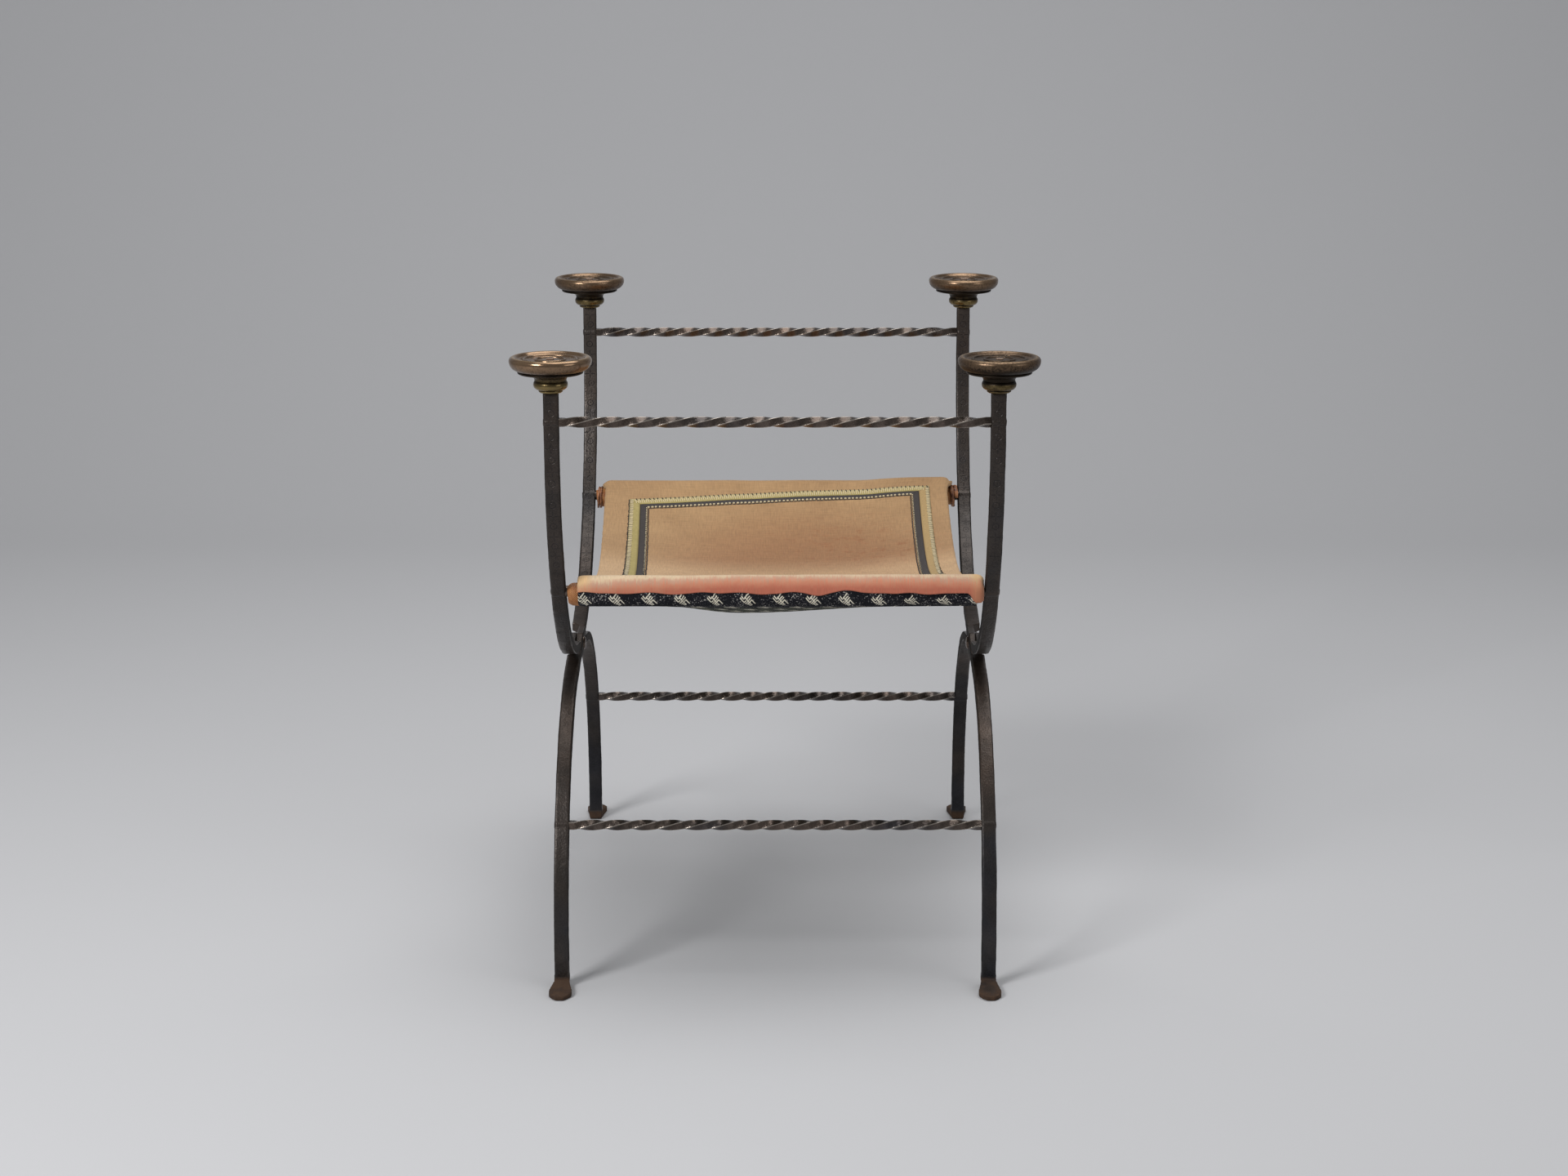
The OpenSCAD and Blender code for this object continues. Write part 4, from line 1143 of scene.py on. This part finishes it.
# Cotton tape, plain woven, faded from yellow-green: one thread in 0.8 mm across, and a cream selvedge
tape_cotton, tree, shader = material("woven_cotton_tape")
cut = add("UVMap", uv_map="cut")
stretched = add("Mapping", {"Vector": cut, "Scale": (1300, 260, 1)})
across = add("TexNoise", (stretched, 1, 2))
cloud = add("TexNoise", (cut, 60, 3))
inset_at = add("SeparateXYZ", (cut,), out="Y")
plain = add("Mix.RGBA", (cloud, "#978850", "#ac9c65"))
# The right side has faded to tan
u_far = add("SeparateXYZ", (cut,))
u_far = add("Math.GREATER_THAN", (u_far, 0.9))
plain = add("Mix.RGBA", (u_far, plain, "#a88c5e"))
selvedge = add("MapRange", (inset_at, 5.3 * MM, 4.6 * MM, 0.0, 0.75))
plain = add("Mix.RGBA", (selvedge, plain, "#b8a678"))
tone = add("MapRange", (across, 0.35, 0.65, 0.82, 1.1))
plain = toned(plain, tone)
relief = add("Bump", {"Height": across, "Strength": 0.6, "Distance": 0.4 * MM})
feed(shader, {"Base Color": plain, "Roughness": 0.85, "Normal": relief})

# Silk ribbon, ribbed across, once black and now a brown charcoal with a low shine
ribbon_silk, tree, shader = material("ribbed_silk_ribbon")
cut = add("UVMap", uv_map="cut")
stretched = add("Mapping", {"Vector": cut, "Scale": (900, 150, 1)})
rib = add("TexNoise", (stretched, 1, 2))
dark = add("Mix.RGBA", (rib, "#211b19", "#3b3330"))
relief = add("Bump", {"Height": rib, "Strength": 0.5, "Distance": 0.3 * MM})
feed(shader, {"Base Color": dark, "Roughness": 0.6, "Normal": relief})

# Waxed linen sewing thread, a cream one and a black one, laid in stitches that are 1 to 3 mm wide
threads = []
for name, dark, light, rough in (("cream_linen_thread", "#ab9a74", "#dccdab", 0.75),
                                 ("black_linen_thread", "#1c1917", "#3a332e", 0.7)):
    thread, tree, shader = material(name)
    place = add("TexCoord", out="Object")
    twist = add("TexNoise", (place, 900, 2))
    tint = add("Mix.RGBA", (twist, dark, light))
    feed(shader, {"Base Color": tint, "Roughness": rough})
    threads.append(thread)
cream_thread, black_thread = threads

bead_shape = bmesh.new()
bmesh.ops.create_uvsphere(bead_shape, u_segments=8, v_segments=4, radius=1)
bead = bpy.data.meshes.new("bead")
bead_shape.to_mesh(bead)
bead_shape.free()


def stitch(bm, leg, s, inset, along, across, height, lift, slew):
    """One stitch, as a small bead of thread. All but s and the angle of its slew is in millimetres."""
    along, across, height, lift = along * MM, across * MM, height * MM, lift * MM
    p = border_place(leg, s, inset)
    step = 0.002
    if s < 0.99:
        q = border_place(leg, s + step, inset)
    else:
        q = p * 2 - border_place(leg, s - step, inset)
    heading = (q - p).normalized()
    base = on_velvet(p.x, p.y, lift)
    ahead = on_velvet(p.x + heading.x * MM, p.y + heading.y * MM, lift) - base
    aside = on_velvet(p.x - heading.y * MM, p.y + heading.x * MM, lift) - base
    x_axis = ahead.normalized()
    z_axis = x_axis.cross(aside).normalized()
    y_axis = z_axis.cross(x_axis)
    frame_of = Matrix((x_axis, y_axis, z_axis)).transposed().to_4x4()
    matrix = Matrix.Translation(base) @ frame_of @ Matrix.Rotation(slew, 4, "Z") @ Matrix.Diagonal(
        (along / 2, across / 2, height, 1))
    one = bead.copy()
    one.transform(matrix)
    bm.from_mesh(one)
    bpy.data.meshes.remove(one)


tape = border_strip("border_tape_woven", 0, 13, 0.8 * MM, tape_cotton)
ribbon = border_strip("border_ribbon_dark", 13.2, 8.6, 0.7 * MM, ribbon_silk)
cream, black = bmesh.new(), bmesh.new()
for leg in range(4):
    count_whip = round(leg_long[leg] / (5.4 * MM))
    for i in range(count_whip):
        j = noise.noise(Vector((i * 1.7, leg * 5.3, 0.5)))
        k = noise.noise(Vector((i * 1.7, leg * 5.3, 9.5)))
        s = (i + 0.5 + 0.15 * j) / count_whip
        dash = 21.2 if leg == 1 else 21.6
        if leg == 1:
            stitch(cream, leg, s, dash + 0.3 * k, 3.6 + 0.6 * j, 3.3, 1.1, 0.6, 0.06 * k)
        else:
            stitch(cream, leg, s, dash + 0.3 * k, 3.2 + 0.6 * j, 1.7, 0.9, 0.6, 0.5)
            stitch(black, leg, (i + 1.0 + 0.1 * k) / count_whip, dash + 0.2 * j, 3.0, 2.0, 1.1, 0.6, 0.5)
        stitch(black, leg, s, dash + 2.4 + 0.5 * k, 5.8, 1.7, 0.7, 0.1, 0.12 * j)
    if leg == 1:
        ribs = 2 * count_whip
        for i in range(ribs):
            j = noise.noise(Vector((i * 2.3, 1.3, 0.5)))
            stitch(cream, leg, (i + 0.5) / ribs, 6.3 + 0.4 * j, 1.6, 13.2 + 1.0 * j, 0.8, 0.8, 0.05 * j)
            if i % 2:
                stitch(black, leg, (i + 1.0 + 0.2 * j) / ribs, 2.6 + 0.8 * j, 1.2, 5.6 + 1.4 * j, 0.6, 1.6,
                       0.1 + 0.3 * j)
    else:
        rungs = 2 * count_whip
        for i in range(rungs):
            j = noise.noise(Vector((i * 2.3, leg * 3.1, 0.5)))
            k = noise.noise(Vector((i * 1.1, leg * 3.1, 7.5)))
            if i % 2:
                stitch(black, leg, (i + 0.3 * j) / rungs, 2.6 + 1.0 * k, 0.9, 6.4 + 1.2 * j, 0.4, 1.0, 0.2 * j)
            stitch(cream, leg, (i + 0.5) / rungs, 2.8 + 0.5 * j, 1.5, 5.4 + k, 0.5, 0.8, 0.12 * j)
            if leg == 0:
                stitch(black, leg, i / rungs, -0.7 + 0.9 * k, 3.0, 1.1, 0.6, 0.5, 0.4 * j)
cream_stitches = piece(cream, "border_stitches_cream", cream_thread)
black_stitches = piece(black, "border_stitches_black", black_thread)
for trim, slot in ((tape, "tape"), (ribbon, "ribbon"), (cream_stitches, "tape"), (black_stitches, "ribbon")):
    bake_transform(trim)
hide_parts("border_tape")
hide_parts("border_ribbon")
velvet_long = velvet_point(0, 1)[1][1] - velvet_point(0, -1)[1][1]

# Studio
# A seamless pale grey sweep, one soft light from the upper left, a large one above and a weak one from the right, an
# even grey room, and the camera where the photograph was taken.
paper, tree, shader = material("grey_paper_sweep")
place = add("TexCoord", out="Object")
tooth = add("TexNoise", (place, 900, 2))
grey = add("Mix.RGBA", (tooth, "#bfbfc1", "#c4c4c6"))
feed(shader, {"Base Color": grey, "Roughness": 1.0, "Specular IOR Level": 0.0})
bm = bmesh.new()
line_of = [bm.verts.new((-6, y, 0)) for y in (-5, 2.0)]
bm.edges.new(line_of)
bent = bmesh.ops.spin(bm, geom=[line_of[1]], cent=(0, 2.0, 1.6), axis=(1, 0, 0), angle=math.pi / 2, steps=24)
last = [g for g in bent["geom_last"] if isinstance(g, bmesh.types.BMVert)]
top_of = bmesh.ops.extrude_vert_indiv(bm, verts=last)["verts"]
bmesh.ops.translate(bm, vec=(0, 0, 4), verts=top_of)
wide_of = bmesh.ops.extrude_edge_only(bm, edges=bm.edges)["geom"]
bmesh.ops.translate(bm, vec=(12, 0, 0), verts=[g for g in wide_of if isinstance(g, bmesh.types.BMVert)])
sweep_paper = piece(bm, "paper_sweep", paper)


def soft_light(name, location, target, size, power):
    """A soft box: a rectangular area light that points at a target."""
    lamp = bpy.data.lights.new(name, "AREA")
    lamp.shape = "RECTANGLE"
    lamp.size, lamp.size_y = size
    lamp.energy = power
    made = bpy.data.objects.new(name, lamp)
    made.location = location
    made.rotation_euler = (Vector(target) - Vector(location)).to_track_quat("-Z", "Y").to_euler()
    bpy.context.scene.collection.objects.link(made)


soft_light("key_box", (-1.9, -2.4, 2.3), (0, 0, 0.35), (1.0, 1.3), 76)
soft_light("top_box", (0.3, 0.3, 3.2), (0, 0, 0.3), (2.4, 2.4), 56)
soft_light("fill_box", (2.6, -2.0, 1.6), (0, 0, 0.35), (1.6, 1.6), 13)
room = bpy.data.worlds.new("grey_room")
bpy.context.scene.world = room
room.use_nodes = True
feed(room.node_tree.nodes["Background"], {"Color": "#c8cacc", "Strength": 0.43})

lens = bpy.data.cameras.new("camera")
lens.lens = 70.3125  # 3750 pixels of focal length in a picture that is 1920 pixels wide
lens.sensor_width = 36
camera = bpy.data.objects.new("camera", lens)
camera.location = (0.0106, -3.5048, 1.1882)
camera.rotation_euler = (math.radians(77), 0, math.radians(0.018))
bpy.context.scene.collection.objects.link(camera)
bpy.context.scene.camera = camera
bpy.context.scene.view_settings.view_transform = "Standard"
